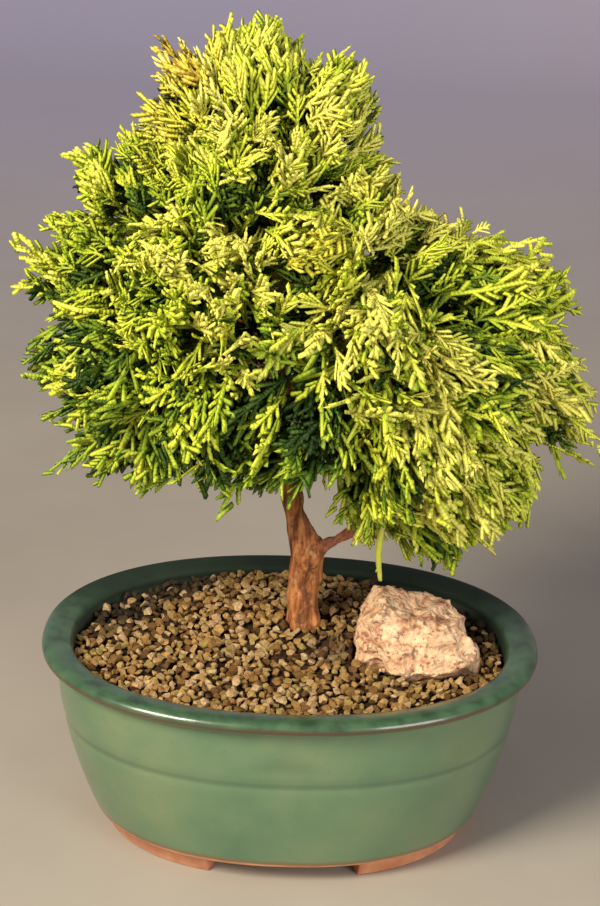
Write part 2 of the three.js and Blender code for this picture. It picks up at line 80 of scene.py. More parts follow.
def deletePiece(piece):
    mesh = piece.data
    bpy.data.objects.remove(piece)
    bpy.data.meshes.remove(mesh)


def merged(mesh, facesOut=False):
    work = bmesh.new()
    work.from_mesh(mesh)
    bmesh.ops.remove_doubles(work, verts=work.verts, dist=1e-6)
    if facesOut:
        bmesh.ops.recalc_face_normals(work, faces=work.faces)
    work.to_mesh(mesh)
    work.free()
    return mesh


def mergedCopy(node, name):
    # the frame's meshes are loose triangles, so a copy is merged before any use
    mesh = frame["nodes"][node].data.copy()
    mesh.name = name
    mesh.materials.clear()
    return newPiece(name, merged(mesh))


def paint(mesh, material):
    mesh.materials.clear()
    mesh.materials.append(material)
    mesh.polygons.foreach_set("material_index", np.zeros(len(mesh.polygons), dtype=np.int32))


def writeFields(mesh, **fields):
    for name, values in fields.items():
        mesh.attributes.new(name, "FLOAT", "POINT").data.foreach_set("value", values)


def bake(piece):
    # modifiers become a plain mesh
    bpy.context.view_layer.update()
    graph = bpy.context.evaluated_depsgraph_get()
    mesh = bpy.data.meshes.new_from_object(piece.evaluated_get(graph))
    old = piece.data
    piece.modifiers.clear()
    piece.data = mesh
    bpy.data.meshes.remove(old)
    return piece


def vertexArray(mesh):
    flat = np.empty(len(mesh.vertices) * 3)
    mesh.vertices.foreach_get("co", flat)
    return flat.reshape(-1, 3)


def setVertices(mesh, places):
    mesh.vertices.foreach_set("co", np.asarray(places, dtype=np.float32).ravel())
    mesh.update()


def setSmooth(piece, smooth=True):
    for polygon in piece.data.polygons:
        polygon.use_smooth = smooth


def finishPiece(piece, slot, *nodes, smooth=True):
    setSmooth(piece, smooth)
    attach(piece, "root")
    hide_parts(*nodes)


def addNode(tree, kind, inputs=None, **settings):
    made = tree.nodes.new(kind)
    for name, value in settings.items():
        setattr(made, name, value)
    for key, value in (inputs or {}).items():
        if isinstance(value, bpy.types.NodeSocket):
            tree.links.new(value, made.inputs[key])
        else:
            made.inputs[key].default_value = value
    return made


def vectorMath(tree, operation, *values):
    inputs = dict(enumerate(values))
    if operation == "SCALE":
        inputs = {0: values[0], "Scale": values[1]}
    made = addNode(tree, "ShaderNodeVectorMath", inputs, operation=operation)
    return made.outputs["Value" if operation in ("LENGTH", "DOT_PRODUCT") else "Vector"]


def numberMath(tree, operation, *values, clamp=False):
    made = addNode(tree, "ShaderNodeMath", dict(enumerate(values)), operation=operation)
    made.use_clamp = clamp
    return made.outputs[0]


def product(tree, result, *factors):
    for factor in factors:
        result = numberMath(tree, "MULTIPLY", result, factor)
    return result


def splitVector(tree, vector):
    return addNode(tree, "ShaderNodeSeparateXYZ", {0: vector}).outputs


def upward(tree, height):
    return addNode(tree, "ShaderNodeCombineXYZ", {"Z": height}).outputs[0]


def newNodeTree(name, **sockets):
    tree = bpy.data.node_groups.new(name, "GeometryNodeTree")
    tree.interface.new_socket("Geometry", in_out="INPUT", socket_type="NodeSocketGeometry")
    for label, kind in sockets.items():
        tree.interface.new_socket(label, in_out="INPUT", socket_type="NodeSocket" + kind)
    tree.interface.new_socket("Geometry", in_out="OUTPUT", socket_type="NodeSocketGeometry")
    source = addNode(tree, "NodeGroupInput")
    return tree, source.outputs


def endNodeTree(tree, geometry, material):
    whole = addNode(tree, "GeometryNodeRealizeInstances", {"Geometry": geometry})
    painted = addNode(tree, "GeometryNodeSetMaterial", {"Geometry": whole.outputs[0], "Material": material})
    result = addNode(tree, "NodeGroupOutput")
    tree.links.new(painted.outputs[0], result.inputs[0])


def useNodeTree(piece, tree, **values):
    modifier = piece.modifiers.new(tree.name, "NODES")
    modifier.node_group = tree
    for item in tree.interface.items_tree:
        if item.in_out == "INPUT" and item.name in values:
            modifier[item.identifier] = values[item.name]
    bake(piece)
    paint(piece.data, values["Material"])


def randomFloat(tree, low, high, seed):
    return addNode(tree, "FunctionNodeRandomValue", {2: low, 3: high, "Seed": seed}).outputs[1]


def randomVector(tree, size, seed):
    inputs = {0: (-size, -size, -size), 1: (size, size, size), "Seed": seed}
    return addNode(tree, "FunctionNodeRandomValue", inputs, data_type="FLOAT_VECTOR").outputs[0]


def storeField(tree, points, name, value, kind="FLOAT"):
    inputs = {"Geometry": points, "Name": name, "Value": value}
    stored = addNode(tree, "GeometryNodeStoreNamedAttribute", inputs, data_type=kind, domain="POINT")
    return stored.outputs[0]


def readField(tree, name, kind="FLOAT"):
    return addNode(tree, "GeometryNodeInputNamedAttribute", {"Name": name}, data_type=kind).outputs[0]


def copiesOn(tree, points, group, last, seed, turn, scale):
    # one of the group's meshes on each point, drawn by the seed
    meshes = addNode(tree, "GeometryNodeCollectionInfo", {0: group, 1: True, 2: True})
    pick = addNode(tree, "FunctionNodeRandomValue", {4: 0, 5: last, "Seed": seed}, data_type="INT")
    copies = addNode(tree, "GeometryNodeInstanceOnPoints", {
        "Points": points, "Instance": meshes.outputs[0], "Pick Instance": True,
        "Instance Index": pick.outputs[2], "Rotation": turn, "Scale": scale})
    return copies.outputs[0]


def joined(tree, *parts):
    whole = addNode(tree, "GeometryNodeJoinGeometry")
    for part in parts:
        tree.links.new(part, whole.inputs[0])
    return whole.outputs[0]


def collect(name, objects):
    group = bpy.data.collections.new(name)
    for piece in objects:
        group.objects.link(piece)
    return group


def discard(group):
    for piece in list(group.objects):
        deletePiece(piece)
    bpy.data.collections.remove(group)


def newMaterial(name, **constants):
    material = bpy.data.materials.new(name)
    material.use_nodes = True
    shader = material.node_tree.nodes["Principled BSDF"]
    for label, value in constants.items():
        shader.inputs[label.replace("_", " ")].default_value = value
    place = addNode(material.node_tree, "ShaderNodeTexCoord").outputs["Object"]
    return material, material.node_tree, shader, place


def noiseAt(tree, place, scale, detail=3.0, roughness=0.55, stretch=None):
    if stretch:
        mapped = addNode(tree, "ShaderNodeMapping", {"Vector": place, "Scale": stretch})
        place = mapped.outputs[0]
    inputs = {"Vector": place, "Scale": scale, "Detail": detail, "Roughness": roughness}
    return addNode(tree, "ShaderNodeTexNoise", inputs).outputs["Fac"]


def ramp(tree, value, *stops):
    made = addNode(tree, "ShaderNodeValToRGB", {"Fac": value})
    band = made.color_ramp
    while len(band.elements) < len(stops):
        band.elements.new(0.5)
    for element, (position, colour) in zip(band.elements, stops):
        element.position = position
        element.color = (*colour, 1.0)
    return made.outputs["Color"]


def fade(tree, value, start, end, low=0.0, high=1.0):
    inputs = {0: value, 1: start, 2: end, 3: low, 4: high}
    made = addNode(tree, "ShaderNodeMapRange", inputs, interpolation_type="SMOOTHSTEP")
    return made.outputs[0]


def mixColour(tree, factor, first, second, blend="MIX"):
    made = addNode(tree, "ShaderNodeMix", data_type="RGBA", blend_type=blend)
    for key, value in {0: factor, 6: first, 7: second}.items():
        if isinstance(value, bpy.types.NodeSocket):
            tree.links.new(value, made.inputs[key])
        elif key == 0:
            made.inputs[0].default_value = value
        else:
            made.inputs[key].default_value = (*value, 1.0)
    return made.outputs[2]


def shadeField(tree, name):
    return addNode(tree, "ShaderNodeAttribute", attribute_name=name).outputs["Fac"]


def distanceFrom(tree, place, spot):
    # spot is over the middle of the pot's underside
    offset = vectorMath(tree, "SUBTRACT", place, tuple(potFoot + Vector(spot)))
    return vectorMath(tree, "LENGTH", offset)


def aroundPot(tree, place):
    # the way from the middle of the pot's underside, and how far out that is, 1 at the lip's outline
    offset = vectorMath(tree, "SUBTRACT", place, tuple(potFoot))
    shares = (2 / (potHigh.x - potLow.x), 2 / (potHigh.y - potLow.y), 0.0)
    radius = vectorMath(tree, "LENGTH", vectorMath(tree, "MULTIPLY", offset, shares))
    return splitVector(tree, offset), radius


def addFinish(tree, shader, colour, height, strength, distance):
    tree.links.new(colour, shader.inputs["Base Color"])
    inputs = {"Height": height, "Strength": strength, "Distance": distance}
    bump = addNode(tree, "ShaderNodeBump", inputs)
    tree.links.new(bump.outputs[0], shader.inputs["Normal"])


def eased(share):
    return share * share * (3.0 - 2.0 * share)


camera = {
    "lens": 85.0,
    "sensor": 36.0,
    "distance": 0.845,
    "pitch": 22.72,  # degrees that it looks down
    "roll": 1.75,
    "aim": (0.00175, 0.0, 0.1618),  # from the middle of the pot's underside
}


def placeCamera():
    pitch, roll = math.radians(camera["pitch"]), math.radians(camera["roll"])
    back = Vector((0, -math.cos(pitch), math.sin(pitch)))
    level = Vector((1, 0, 0))
    up = back.cross(level)
    right = math.cos(roll) * level + math.sin(roll) * up
    above = math.cos(roll) * up - math.sin(roll) * level
    place = potFoot + Vector(camera["aim"]) + camera["distance"] * back
    lens = bpy.data.cameras.new("camera")
    lens.lens = camera["lens"]
    lens.sensor_width = camera["sensor"]
    eye = bpy.data.objects.new("camera", lens)
    turn = Matrix((right, above, back)).transposed().to_4x4()
    eye.matrix_world = Matrix.Translation(place) @ turn
    bpy.context.scene.collection.objects.link(eye)
    bpy.context.scene.camera = eye


placeCamera()
print("camera placed")


# A frond is one flat spray of branchlets: a main one with side branchlets on both edges.
frond = {
    "variants": 6,  # of each kind
    "thickness": 0.62,  # of its width
    "angle": 34.0,  # of a side branchlet from the main one, degrees
    "sidesStart": 0.08,  # where along the main one they start
    "sidesRun": 0.84,  # and how far on they end, as shares of its length
    "sideSize": 0.85,  # their width, as a share of the main one's
    "scalePitch": 0.0015,  # of the scale leaves along a branchlet
}
frondKinds = {
    "hanging": {"length": 0.031, "width": 0.0021, "sides": 8, "sideLength": 0.31, "arch": 5.0,
                "bend": 0.5, "fronds": 125},
    "tufted": {"length": 0.015, "width": 0.0017, "sides": 7, "sideLength": 0.64, "arch": 12.0,
               "bend": 0.8, "fronds": 205},
}
crown = {
    "heart": (0.0, 0.008, 0.205),  # the sprays radiate from here, over the pot's underside
    "meanOut": 0.377,  # how far a spray's corners lie out of its centre, as a share of its reach
    "reachOverSpread": 1.164,
    "farthest": 1.2,  # nothing grows further out than this times the reach
    "usualReach": 0.029,  # of a spray that has the number of fronds given above
    "scatter": 0.28,
    "sizes": (0.72, 1.12),  # of the fronds
    "rootBack": 0.85,  # how far back from its end a frond is rooted, as a share of its length
    "staying": (0.15, 0.35),  # shares of the fronds that keep hanging, fully or partly, over a hollow
    "low": 0.11,  # heights between which the fronds turn from hanging to rising
    "high": 0.31,
    "mixed": (0.48, 0.62),  # share of that rise from which and up to which both kinds are used
    "flow": (-0.95, 0.75),  # fall and rise of the fronds at those heights
    "fromAxis": 0.30,  # how strongly they also run out from the crown's axis
    "fromHead": 0.48,  # and from the nearest of the heads of its large masses
    "heads": ((-0.043, -0.045, 0.255), (0.036, -0.045, 0.231), (-0.026, -0.025, 0.305)),
    "headReach": 0.035,
    "lie": 0.66,  # 1 for fronds that lie flat on the spray, 0 for ones that stand on it
    "droop": (0.35, -0.15),  # bend of a frond's end, as a share of its length
    "coreShare": 0.66,
    "even": 0.7,  # how far every frond's end is brought to the spray's own reach
    "fullness": 1.06,
    "ragged": (0.13, 38.0),  # how much and in how small lumps that reach varies
    "deep": 0.40,  # of the reach, down to which further fronds lie
    "sway": (0.010, 45.0),  # how far and in how small clumps the fronds lean aside
    "stray": 2.1,  # corners further out than this times the median belong to a hanging shoot
    "seed": 7,
}
# masses and hollows of the crown: place over the pot's underside, radius, how far the fronds are drawn in
# there, and how much shade is painted on their leaves; bulges and sunlit masses have a minus, which paints
# light
masses = {
    "highHollow": (-0.021, -0.037, 0.273, 0.015, 0.017, 3.0),
    "highHollowLow": (-0.014, -0.033, 0.259, 0.009, 0.010, 1.6),
    "middleCleft": (-0.002, -0.055, 0.209, 0.016, 0.016, 2.2),
    "lowCleft": (0.002, -0.061, 0.194, 0.015, 0.014, 1.5),
    "rightHollow": (0.042, -0.015, 0.241, 0.015, 0.015, 1.6),
    "rightMiddleHollow": (0.058, -0.010, 0.230, 0.013, 0.012, 1.8),
    "rightLowHollow": (0.072, -0.030, 0.224, 0.015, 0.014, 1.5),
    "leftHollow": (-0.074, -0.043, 0.220, 0.022, 0.010, 1.6),
    "leftTopHollow": (-0.067, -0.015, 0.253, 0.020, 0.011, 2.6),
    "leftFrontHollow": (-0.033, -0.055, 0.210, 0.011, 0.007, 0.7),
    "leftUnderHollow": (-0.053, -0.055, 0.192, 0.018, 0.006, 1.9),
    "leftHem": (-0.035, -0.055, 0.174, 0.020, 0.001, 1.0),
    "rightStemHollow": (0.018, -0.061, 0.191, 0.009, 0.003, 0.0),
    "rightStemLow": (0.021, -0.040, 0.185, 0.014, -0.006, -0.8),
    "apexHollow": (0.006, -0.009, 0.306, 0.007, 0.006, 0.5),
    "shoulderHollow": (-0.057, -0.010, 0.274, 0.013, 0.006, 0.7),
    "hornGap": (-0.070, 0.007, 0.279, 0.009, 0.006, 0.3),
    "leftRidge": (-0.038, -0.058, 0.256, 0.016, -0.003, -2.2),
    "frontLobe": (-0.019, -0.055, 0.251, 0.019, -0.010, -3.4),
    "frontLobeLow": (-0.020, -0.054, 0.233, 0.020, -0.018, -3.4),
    "apexLobe": (-0.032, -0.024, 0.298, 0.024, -0.003, -1.2),
    "apexRightLobe": (0.017, -0.012, 0.295, 0.018, -0.002, -1.6),
    "neckLobe": (0.000, -0.025, 0.279, 0.018, -0.018, -3.2),
    "rightTopLobe": (0.038, -0.012, 0.258, 0.020, -0.003, -2.6),
    "rightBrowLobe": (0.066, -0.004, 0.253, 0.019, -0.003, -2.0),
    "rightRidge": (0.017, -0.059, 0.239, 0.020, -0.006, -2.2),
    "rightNearLobe": (0.020, -0.070, 0.223, 0.013, -0.004, -1.3),
    "rightLobe": (0.038, -0.072, 0.226, 0.015, -0.003, -1.6),
    "rightLobeFar": (0.058, -0.056, 0.215, 0.018, -0.004, -2.6),
    "rightEdge": (0.099, -0.017, 0.194, 0.020, -0.004, -2.8),
    "rightUnder": (0.054, -0.065, 0.186, 0.020, -0.002, -2.4),
    "rightFootLobe": (0.060, -0.046, 0.156, 0.021, -0.003, -3.4),
    "rightCorner": (0.084, -0.038, 0.184, 0.019, -0.003, -2.4),
    "neckRightLobe": (0.018, -0.022, 0.261, 0.015, -0.004, -2.0),
    "frontDrop": (-0.009, -0.062, 0.194, 0.011, 0.000, -0.5),
    "rightNearHollow": (0.078, -0.041, 0.208, 0.012, 0.006, 1.4),
    "heartHollow": (0.001, -0.048, 0.250, 0.011, 0.008, 1.2),
    "rightFrontLobe": (0.037, -0.068, 0.214, 0.017, -0.004, -1.6),
    "leftPoint": (-0.111, 0.000, 0.238, 0.021, 0.026, 0.0),
    "leftShoulder": (-0.099, 0.000, 0.259, 0.016, 0.020, 0.0),
    "leftBelly": (-0.101, -0.005, 0.204, 0.014, -0.012, 0.0),
    "leftUnder": (-0.104, -0.006, 0.189, 0.016, 0.012, 0.0),
    "neckRight": (0.032, 0.006, 0.304, 0.019, 0.019, 0.0),
    "neckRightLow": (0.033, 0.000, 0.291, 0.016, 0.018, 0.0),
    "neckLeft": (-0.062, 0.004, 0.304, 0.017, 0.018, 0.0),
    "neckLeftLow": (-0.068, 0.004, 0.293, 0.011, 0.008, 0.0),
    "hornTop": (-0.079, 0.006, 0.284, 0.011, 0.007, 0.0),
    "hornUnder": (-0.089, 0.000, 0.265, 0.013, 0.008, 0.0),
    "rightBrow": (0.093, 0.000, 0.248, 0.016, 0.027, 0.0),
    "rightTop": (0.077, 0.000, 0.256, 0.016, -0.012, 0.0),
    "rightTopLow": (0.063, 0.000, 0.265, 0.010, 0.008, 0.0),
    "rightBelly": (0.103, 0.004, 0.218, 0.014, -0.006, 0.0),
    "rightPoint": (0.108, 0.004, 0.176, 0.017, -0.016, 0.0),
    "rightPointLow": (0.110, 0.004, 0.157, 0.012, 0.012, 0.0),
    "rightHem": (0.098, 0.000, 0.141, 0.014, 0.012, 0.0),
    "rightFoot": (0.052, -0.010, 0.128, 0.018, -0.006, 0.0),
    "rightFootEdge": (0.071, -0.005, 0.117, 0.014, 0.010, 0.0),
    "leftFoot": (-0.082, -0.010, 0.168, 0.019, -0.012, 0.0),
    "middleFoot": (-0.027, -0.020, 0.152, 0.021, -0.014, 0.0),
    "browTop": (-0.004, 0.006, 0.324, 0.013, 0.014, 0.0),
    "bronzeTop": (-0.048, 0.004, 0.319, 0.012, -0.005, 0.0),
}
massDepth = 2.0  # how much longer each is from front to back than it is wide
# where the leaves turn golden brown: place, radius and how far
browned = {
    "apexPatch": (-0.043, -0.005, 0.318, 0.015, 1.20),
    "shoulderPatch": (-0.056, -0.014, 0.290, 0.015, 0.45),
    "neckPatch": (-0.004, -0.030, 0.284, 0.008, 0.50),
    "heartPatch": (0.005, -0.055, 0.258, 0.011, 0.70),
    "lowPatch": (0.033, -0.060, 0.181, 0.006, 0.60),
    "leftRim": (-0.102, -0.005, 0.234, 0.011, 0.40),
}


def addBranchlet(points, faces, marks, start, along, flat, length, width, thick, tips, rings, bend):
    # three-sided rod with its ridge on the flat's upper side; marks hold its tip shade and its run
    side = along.cross(flat).normalized()
    first = len(points)
    place, direction, travelled = start.copy(), along.copy(), 0.0
    for share in rings:
        step = share * length - travelled
        place = place + direction * step
        travelled += step
        direction = (direction + bend * side * share).normalized()
        points.extend((place + side * width / 2, place + flat * thick, place - side * width / 2))
        marks.extend([(tips[0] + (tips[1] - tips[0]) * share, travelled)] * 3)
    points.append(place + direction * (length - travelled))
    marks.append((tips[1], length))
    for ring in range(len(rings) - 1):
        low = first + 3 * ring
        for k in range(3):
            n = (k + 1) % 3
            faces.append((low + k, low + 3 + k, low + 3 + n, low + n))
    high = first + 3 * (len(rings) - 1)
    end = len(points) - 1
    for k in range(3):
        faces.append((high + (k + 1) % 3, high + k, end))
    faces.append((first, first + 1, first + 2))


def frondMesh(kind, number):
    draw = random.Random("%s %d" % (kind, number))
    shape = frondKinds[kind]
    points, faces, marks = [], [], []
    flat = Vector((0, -1, 0))
    length = shape["length"] * draw.uniform(0.85, 1.12)
    width, thick = shape["width"], shape["width"] * frond["thickness"]
    sway = draw.uniform(-0.3, 0.3)
    addBranchlet(points, faces, marks, Vector((0, 0, 0)), Vector((0, 0, 1)), flat, length,
                 width, thick, (0.25, draw.uniform(0.8, 1.1)), (0.0, 0.45, 0.93), sway)
    for i in range(shape["sides"]):
        share = frond["sidesStart"] + frond["sidesRun"] * (i + draw.uniform(0.1, 0.9)) / shape["sides"]
        hand = 1 if i % 2 else -1
        angle = math.radians(frond["angle"] * draw.uniform(0.7, 1.3)) * hand
        along = Vector((math.sin(angle), draw.uniform(-0.2, 0.2), math.cos(angle))).normalized()
        reach = shape["sideLength"] * length * (1.0 - 0.6 * share ** 2) * draw.uniform(0.5, 1.2)
        root = Vector((-0.5 * sway * share ** 2 * length, 0, share * length))
        ends = (0.45, draw.uniform(0.5, 1.1))
        rings = (0.0, 0.4, 0.9) if i % 2 else (0.0, 0.85)
        bend = -hand * draw.uniform(0.1, 1.0) * shape["bend"]
        addBranchlet(points, faces, marks, root, along, flat, reach, width * frond["sideSize"],
                     thick * frond["sideSize"], ends, rings, bend)
    for point in points:
        point.y += shape["arch"] * (point.z ** 2 + 0.6 * point.x ** 2)
    mesh = newMesh("%s%d" % (kind, number), points, faces)
    tips, runs = zip(*marks)
    writeFields(mesh, tip=tips, run=runs, along=[point.z / shape["length"] for point in points])
    return merged(mesh, facesOut=True)


def foliageTree():
    tree, given = newNodeTree("foliage", Density="Float", Seed="Int", Centre="Vector",
                              Lie="Float", Scatter="Float", Droop="Float", Length="Float",
                              Reach="Float", Even="Float", Ragged="Float", Lumps="Float",
                              Deep="Float", Sway="Float", Clumps="Float", CoreShare="Float",
                              Fronds="Collection", Kinds="Int", Material="Material")
    position = addNode(tree, "GeometryNodeInputPosition").outputs[0]
    fromCentre = vectorMath(tree, "SUBTRACT", position, given["Centre"])
    radial = vectorMath(tree, "NORMALIZE", fromCentre)
    away = vectorMath(tree, "LENGTH", fromCentre)
    farthest = product(tree, given["Reach"], crown["farthest"])
    spread = addNode(tree, "GeometryNodeDistributePointsOnFaces", {
        "Mesh": given["Geometry"], "Selection": numberMath(tree, "LESS_THAN", away, farthest),
        "Density": given["Density"], "Seed": given["Seed"]})

    # fronds lie over the spray like shingles, run with the flow and lift their ends a little
    flow = readField(tree, "flow", "FLOAT_VECTOR")
    against = vectorMath(tree, "DOT_PRODUCT", flow, radial)
    held = fade(tree, against, 0.1, 0.8, 0.9, 0.25)  # where the flow leaves the spray they hang free
    over = vectorMath(tree, "SCALE", radial, product(tree, against, held))
    over = vectorMath(tree, "SUBTRACT", flow, over)  # short at a spray's crest, where they stand
    stand = numberMath(tree, "SUBTRACT", 1.0, given["Lie"])
    aim = vectorMath(tree, "ADD", vectorMath(tree, "SCALE", over, given["Lie"]),
                     vectorMath(tree, "SCALE", radial, stand))
    jitter = vectorMath(tree, "SCALE", randomVector(tree, 1.0, 11), given["Scatter"])
    aim = vectorMath(tree, "NORMALIZE", vectorMath(tree, "ADD", aim, jitter))
    depth = numberMath(tree, "POWER", randomFloat(tree, 0.0, 1.0, 51), 1.2)
    points = storeField(tree, spread.outputs["Points"], "aim", aim, "FLOAT_VECTOR")
    points = storeField(tree, points, "out", vectorMath(tree, "SCALE", radial, -1.0), "FLOAT_VECTOR")
    # sun and deep feed the leaf colour: facing the sky makes a frond lighter, partly as painted light, and
    # lying deep paints it darker, as shade
    points = storeField(tree, points, "sun", splitVector(tree, radial)["Z"])
    points = storeField(tree, points, "tone", randomFloat(tree, 0.0, 1.0, 5))
    points = storeField(tree, points, "deep", depth)

    # their ends come near the spray's own ragged reach, some of them further in
    lumps = addNode(tree, "ShaderNodeTexNoise", {"Vector": position, "Scale": given["Lumps"],
                                                 "Detail": 1.0}).outputs["Fac"]
    rough = product(tree, numberMath(tree, "SUBTRACT", lumps, 0.5), 2.0)
    rough = numberMath(tree, "MULTIPLY_ADD", rough, given["Ragged"], 1.0)
    short = numberMath(tree, "SUBTRACT", product(tree, given["Reach"], rough), away)
    short = product(tree, short, given["Even"])
    sink = product(tree, given["Deep"], given["Reach"], readField(tree, "deep"))
    # in the hollows some stay hanging in front, the others are drawn in
    stays = fade(tree, randomFloat(tree, 0.0, 1.0, 61), *crown["staying"], 1.0, 0.0)
    stays = product(tree, stays, numberMath(tree, "MINIMUM", readField(tree, "gloom"), 1.0))
    drawn = numberMath(tree, "SUBTRACT", 1.0, stays)
    short = numberMath(tree, "SUBTRACT", short, sink)
    short = numberMath(tree, "SUBTRACT", short, product(tree, drawn, readField(tree, "dent")))
    scale = randomFloat(tree, *crown["sizes"], 41)
    inward = product(tree, scale, given["Length"], -crown["rootBack"])
    aimed = readField(tree, "aim", "FLOAT_VECTOR")
    toRoot = vectorMath(tree, "ADD", vectorMath(tree, "SCALE", aimed, inward),
                        vectorMath(tree, "SCALE", radial, short))
    fall = product(tree, given["Droop"], given["Length"])
    toRoot = vectorMath(tree, "ADD", toRoot, upward(tree, product(tree, fall, 0.6)))
    moved = addNode(tree, "GeometryNodeSetPosition", {"Geometry": points, "Offset": toRoot})
    turned = addNode(tree, "FunctionNodeAlignRotationToVector", {"Vector": aimed}, axis="Z")
    turned = addNode(tree, "FunctionNodeAlignRotationToVector", {
        "Rotation": turned.outputs[0], "Vector": readField(tree, "out", "FLOAT_VECTOR")},
        axis="Y", pivot_axis="Z")
    spin = upward(tree, randomFloat(tree, -0.5, 0.5, 23))
    spin = addNode(tree, "FunctionNodeEulerToRotation", {0: spin})
    turned = addNode(tree, "FunctionNodeRotateRotation", {
        0: turned.outputs[0], 1: spin.outputs[0]}, rotation_space="LOCAL")
    copies = copiesOn(tree, moved.outputs[0], given["Fronds"], given["Kinds"], 31,
                      turned.outputs[0], scale)

    # fronds bend down or up towards their ends and lean aside in clumps
    whole = addNode(tree, "GeometryNodeRealizeInstances", {"Geometry": copies})
    along = numberMath(tree, "MAXIMUM", readField(tree, "along"), 0.0)
    bent = numberMath(tree, "MULTIPLY_ADD", readField(tree, "tone"), 0.6, 0.7)
    bent = product(tree, numberMath(tree, "POWER", along, 1.7), bent, product(tree, fall, -1.0))
    clumps = addNode(tree, "ShaderNodeTexNoise", {"Vector": position, "Scale": given["Clumps"],
                                                  "Detail": 1.0}).outputs["Color"]
    lean = vectorMath(tree, "SUBTRACT", clumps, (0.5, 0.5, 0.5))
    lean = vectorMath(tree, "SCALE", lean, product(tree, along, given["Sway"]))
    shaped = addNode(tree, "GeometryNodeSetPosition", {
        "Geometry": whole.outputs[0], "Offset": vectorMath(tree, "ADD", upward(tree, bent), lean)})

    # the spray's own mesh, drawn in, closes the view between its fronds; lacking the fronds' tip and tone
    # fields, it is painted dark, as shade
    inner = product(tree, numberMath(tree, "MINIMUM", away, farthest), given["CoreShare"])
    coreAt = vectorMath(tree, "ADD", given["Centre"], vectorMath(tree, "SCALE", radial, inner))
    core = addNode(tree, "GeometryNodeSetPosition", {"Geometry": given["Geometry"], "Position": coreAt})
    endNodeTree(tree, joined(tree, core.outputs[0], shaped.outputs[0]), given["Material"])
    return tree


leafRamps = {
    "gold": ((0.0, (0.024, 0.055, 0.004)), (0.2, (0.11, 0.18, 0.008)),
             (0.42, (0.33, 0.42, 0.02)), (0.66, (0.54, 0.59, 0.045)), (1.0, (0.63, 0.61, 0.11))),
    "green": ((0.0, (0.016, 0.042, 0.004)), (0.25, (0.065, 0.13, 0.008)),
              (0.48, (0.23, 0.34, 0.02)), (0.72, (0.49, 0.54, 0.045)), (1.0, (0.58, 0.59, 0.11))),
    "aged": ((0.0, (0.05, 0.030, 0.006)), (0.3, (0.22, 0.13, 0.016)),
             (0.55, (0.48, 0.33, 0.035)), (0.8, (0.66, 0.52, 0.08)), (1.0, (0.80, 0.72, 0.24))),
}
leafShade = {
    "weights": {"tip": 0.42, "sun": 0.14, "tone": 0.26, "deep": -0.72},  # a higher shade is lighter: deep fronds get painted shade, and facing the sky adds partly painted light
    "glow": (-0.42, 0.42),  # weight of the painted light of a sunlit mass: its change with depth, and at the outside
    "gloom": (-0.60, -0.22),  # the same of the painted shade of a hollow
    "darker": 0.26,
    "patch": (0.66, 0.48, 0.08),  # colour of the straw-yellow patches
}
# each slot's own ramp, and how far its leaves have aged everywhere
leafKinds = {"foliage_gold": ("gold", 0.0), "foliage_green": ("green", 0.0), "foliage_bronze": ("gold", 0.3)}


def leafMaterial(name, own, age):
    # nearly black inside, as painted shade, green, then golden towards the tips and where a frond faces the
    # sky, the latter partly as painted light
    material, tree, shader, place = newMaterial(name, Roughness=0.55, Specular_IOR_Level=0.22)
    read = {key: shadeField(tree, key)
            for key in ("tip", "run", "sun", "tone", "deep", "gloom", "glow", "rust")}
    shade = noiseAt(tree, place, 60.0, 2.0)
    for key, weight in leafShade["weights"].items():
        shade = numberMath(tree, "MULTIPLY_ADD", read[key], weight, shade)
    for key in ("glow", "gloom"):
        weight = numberMath(tree, "MULTIPLY_ADD", read["deep"], *leafShade[key])
        shade = numberMath(tree, "MULTIPLY_ADD", read[key], weight, shade)
    shade = numberMath(tree, "SUBTRACT", shade, leafShade["darker"], clamp=True)
    colour = ramp(tree, shade, *leafRamps[own])
    patch = fade(tree, noiseAt(tree, place, 42.0, 1.0), 0.60, 0.72, 0.0, 0.32)
    colour = mixColour(tree, product(tree, patch, shade), colour, leafShade["patch"])
    some = fade(tree, read["tone"], 0.0, 0.7, 1.2, 0.5)
    rust = numberMath(tree, "MULTIPLY_ADD", read["rust"], some, age, clamp=True)
    colour = mixColour(tree, rust, colour, ramp(tree, shade, *leafRamps["aged"]))
    wave = numberMath(tree, "SINE", product(tree, read["run"], 2 * math.pi / frond["scalePitch"]))
    seam = fade(tree, wave, -1.0, 0.0, 0.86, 1.0)
    leafy = fade(tree, numberMath(tree, "ADD", read["tip"], read["tone"]), 0.0, 0.02, 0.12, 1.0)
    dim = product(tree, seam, leafy)
    dimmed = addNode(tree, "ShaderNodeCombineColor", {0: dim, 1: dim, 2: dim})
    colour = mixColour(tree, 1.0, colour, dimmed.outputs[0], "MULTIPLY")
    addFinish(tree, shader, colour, wave, 0.35, 0.0003)
    return material


leafMaterials = {slot: leafMaterial(slot, *kind) for slot, kind in leafKinds.items()}


def slotOf(node):
    rows = frame["record"]["subparts"]
    return next(row["material_slot"] for row in rows if row["node"] == node)


shoot = {
    "spray": "spray_front_right_low",
    # from the spray down to its end, over the pot's underside, with its radius
    "line": ((0.034, -0.030, 0.166, 0.0013), (0.0350, -0.024, 0.1474, 0.0014),
             (0.0338, -0.018, 0.1280, 0.0013), (0.0352, -0.0125, 0.1130, 0.0008)),
    "steps": 30,
    "sides": 6,
    "scales": 14,
    "scaleSize": (0.0030, 0.0012, 0.0008),  # length, width and thickness
    "scaleAngle": 20.0,
    "seed": 17,
}


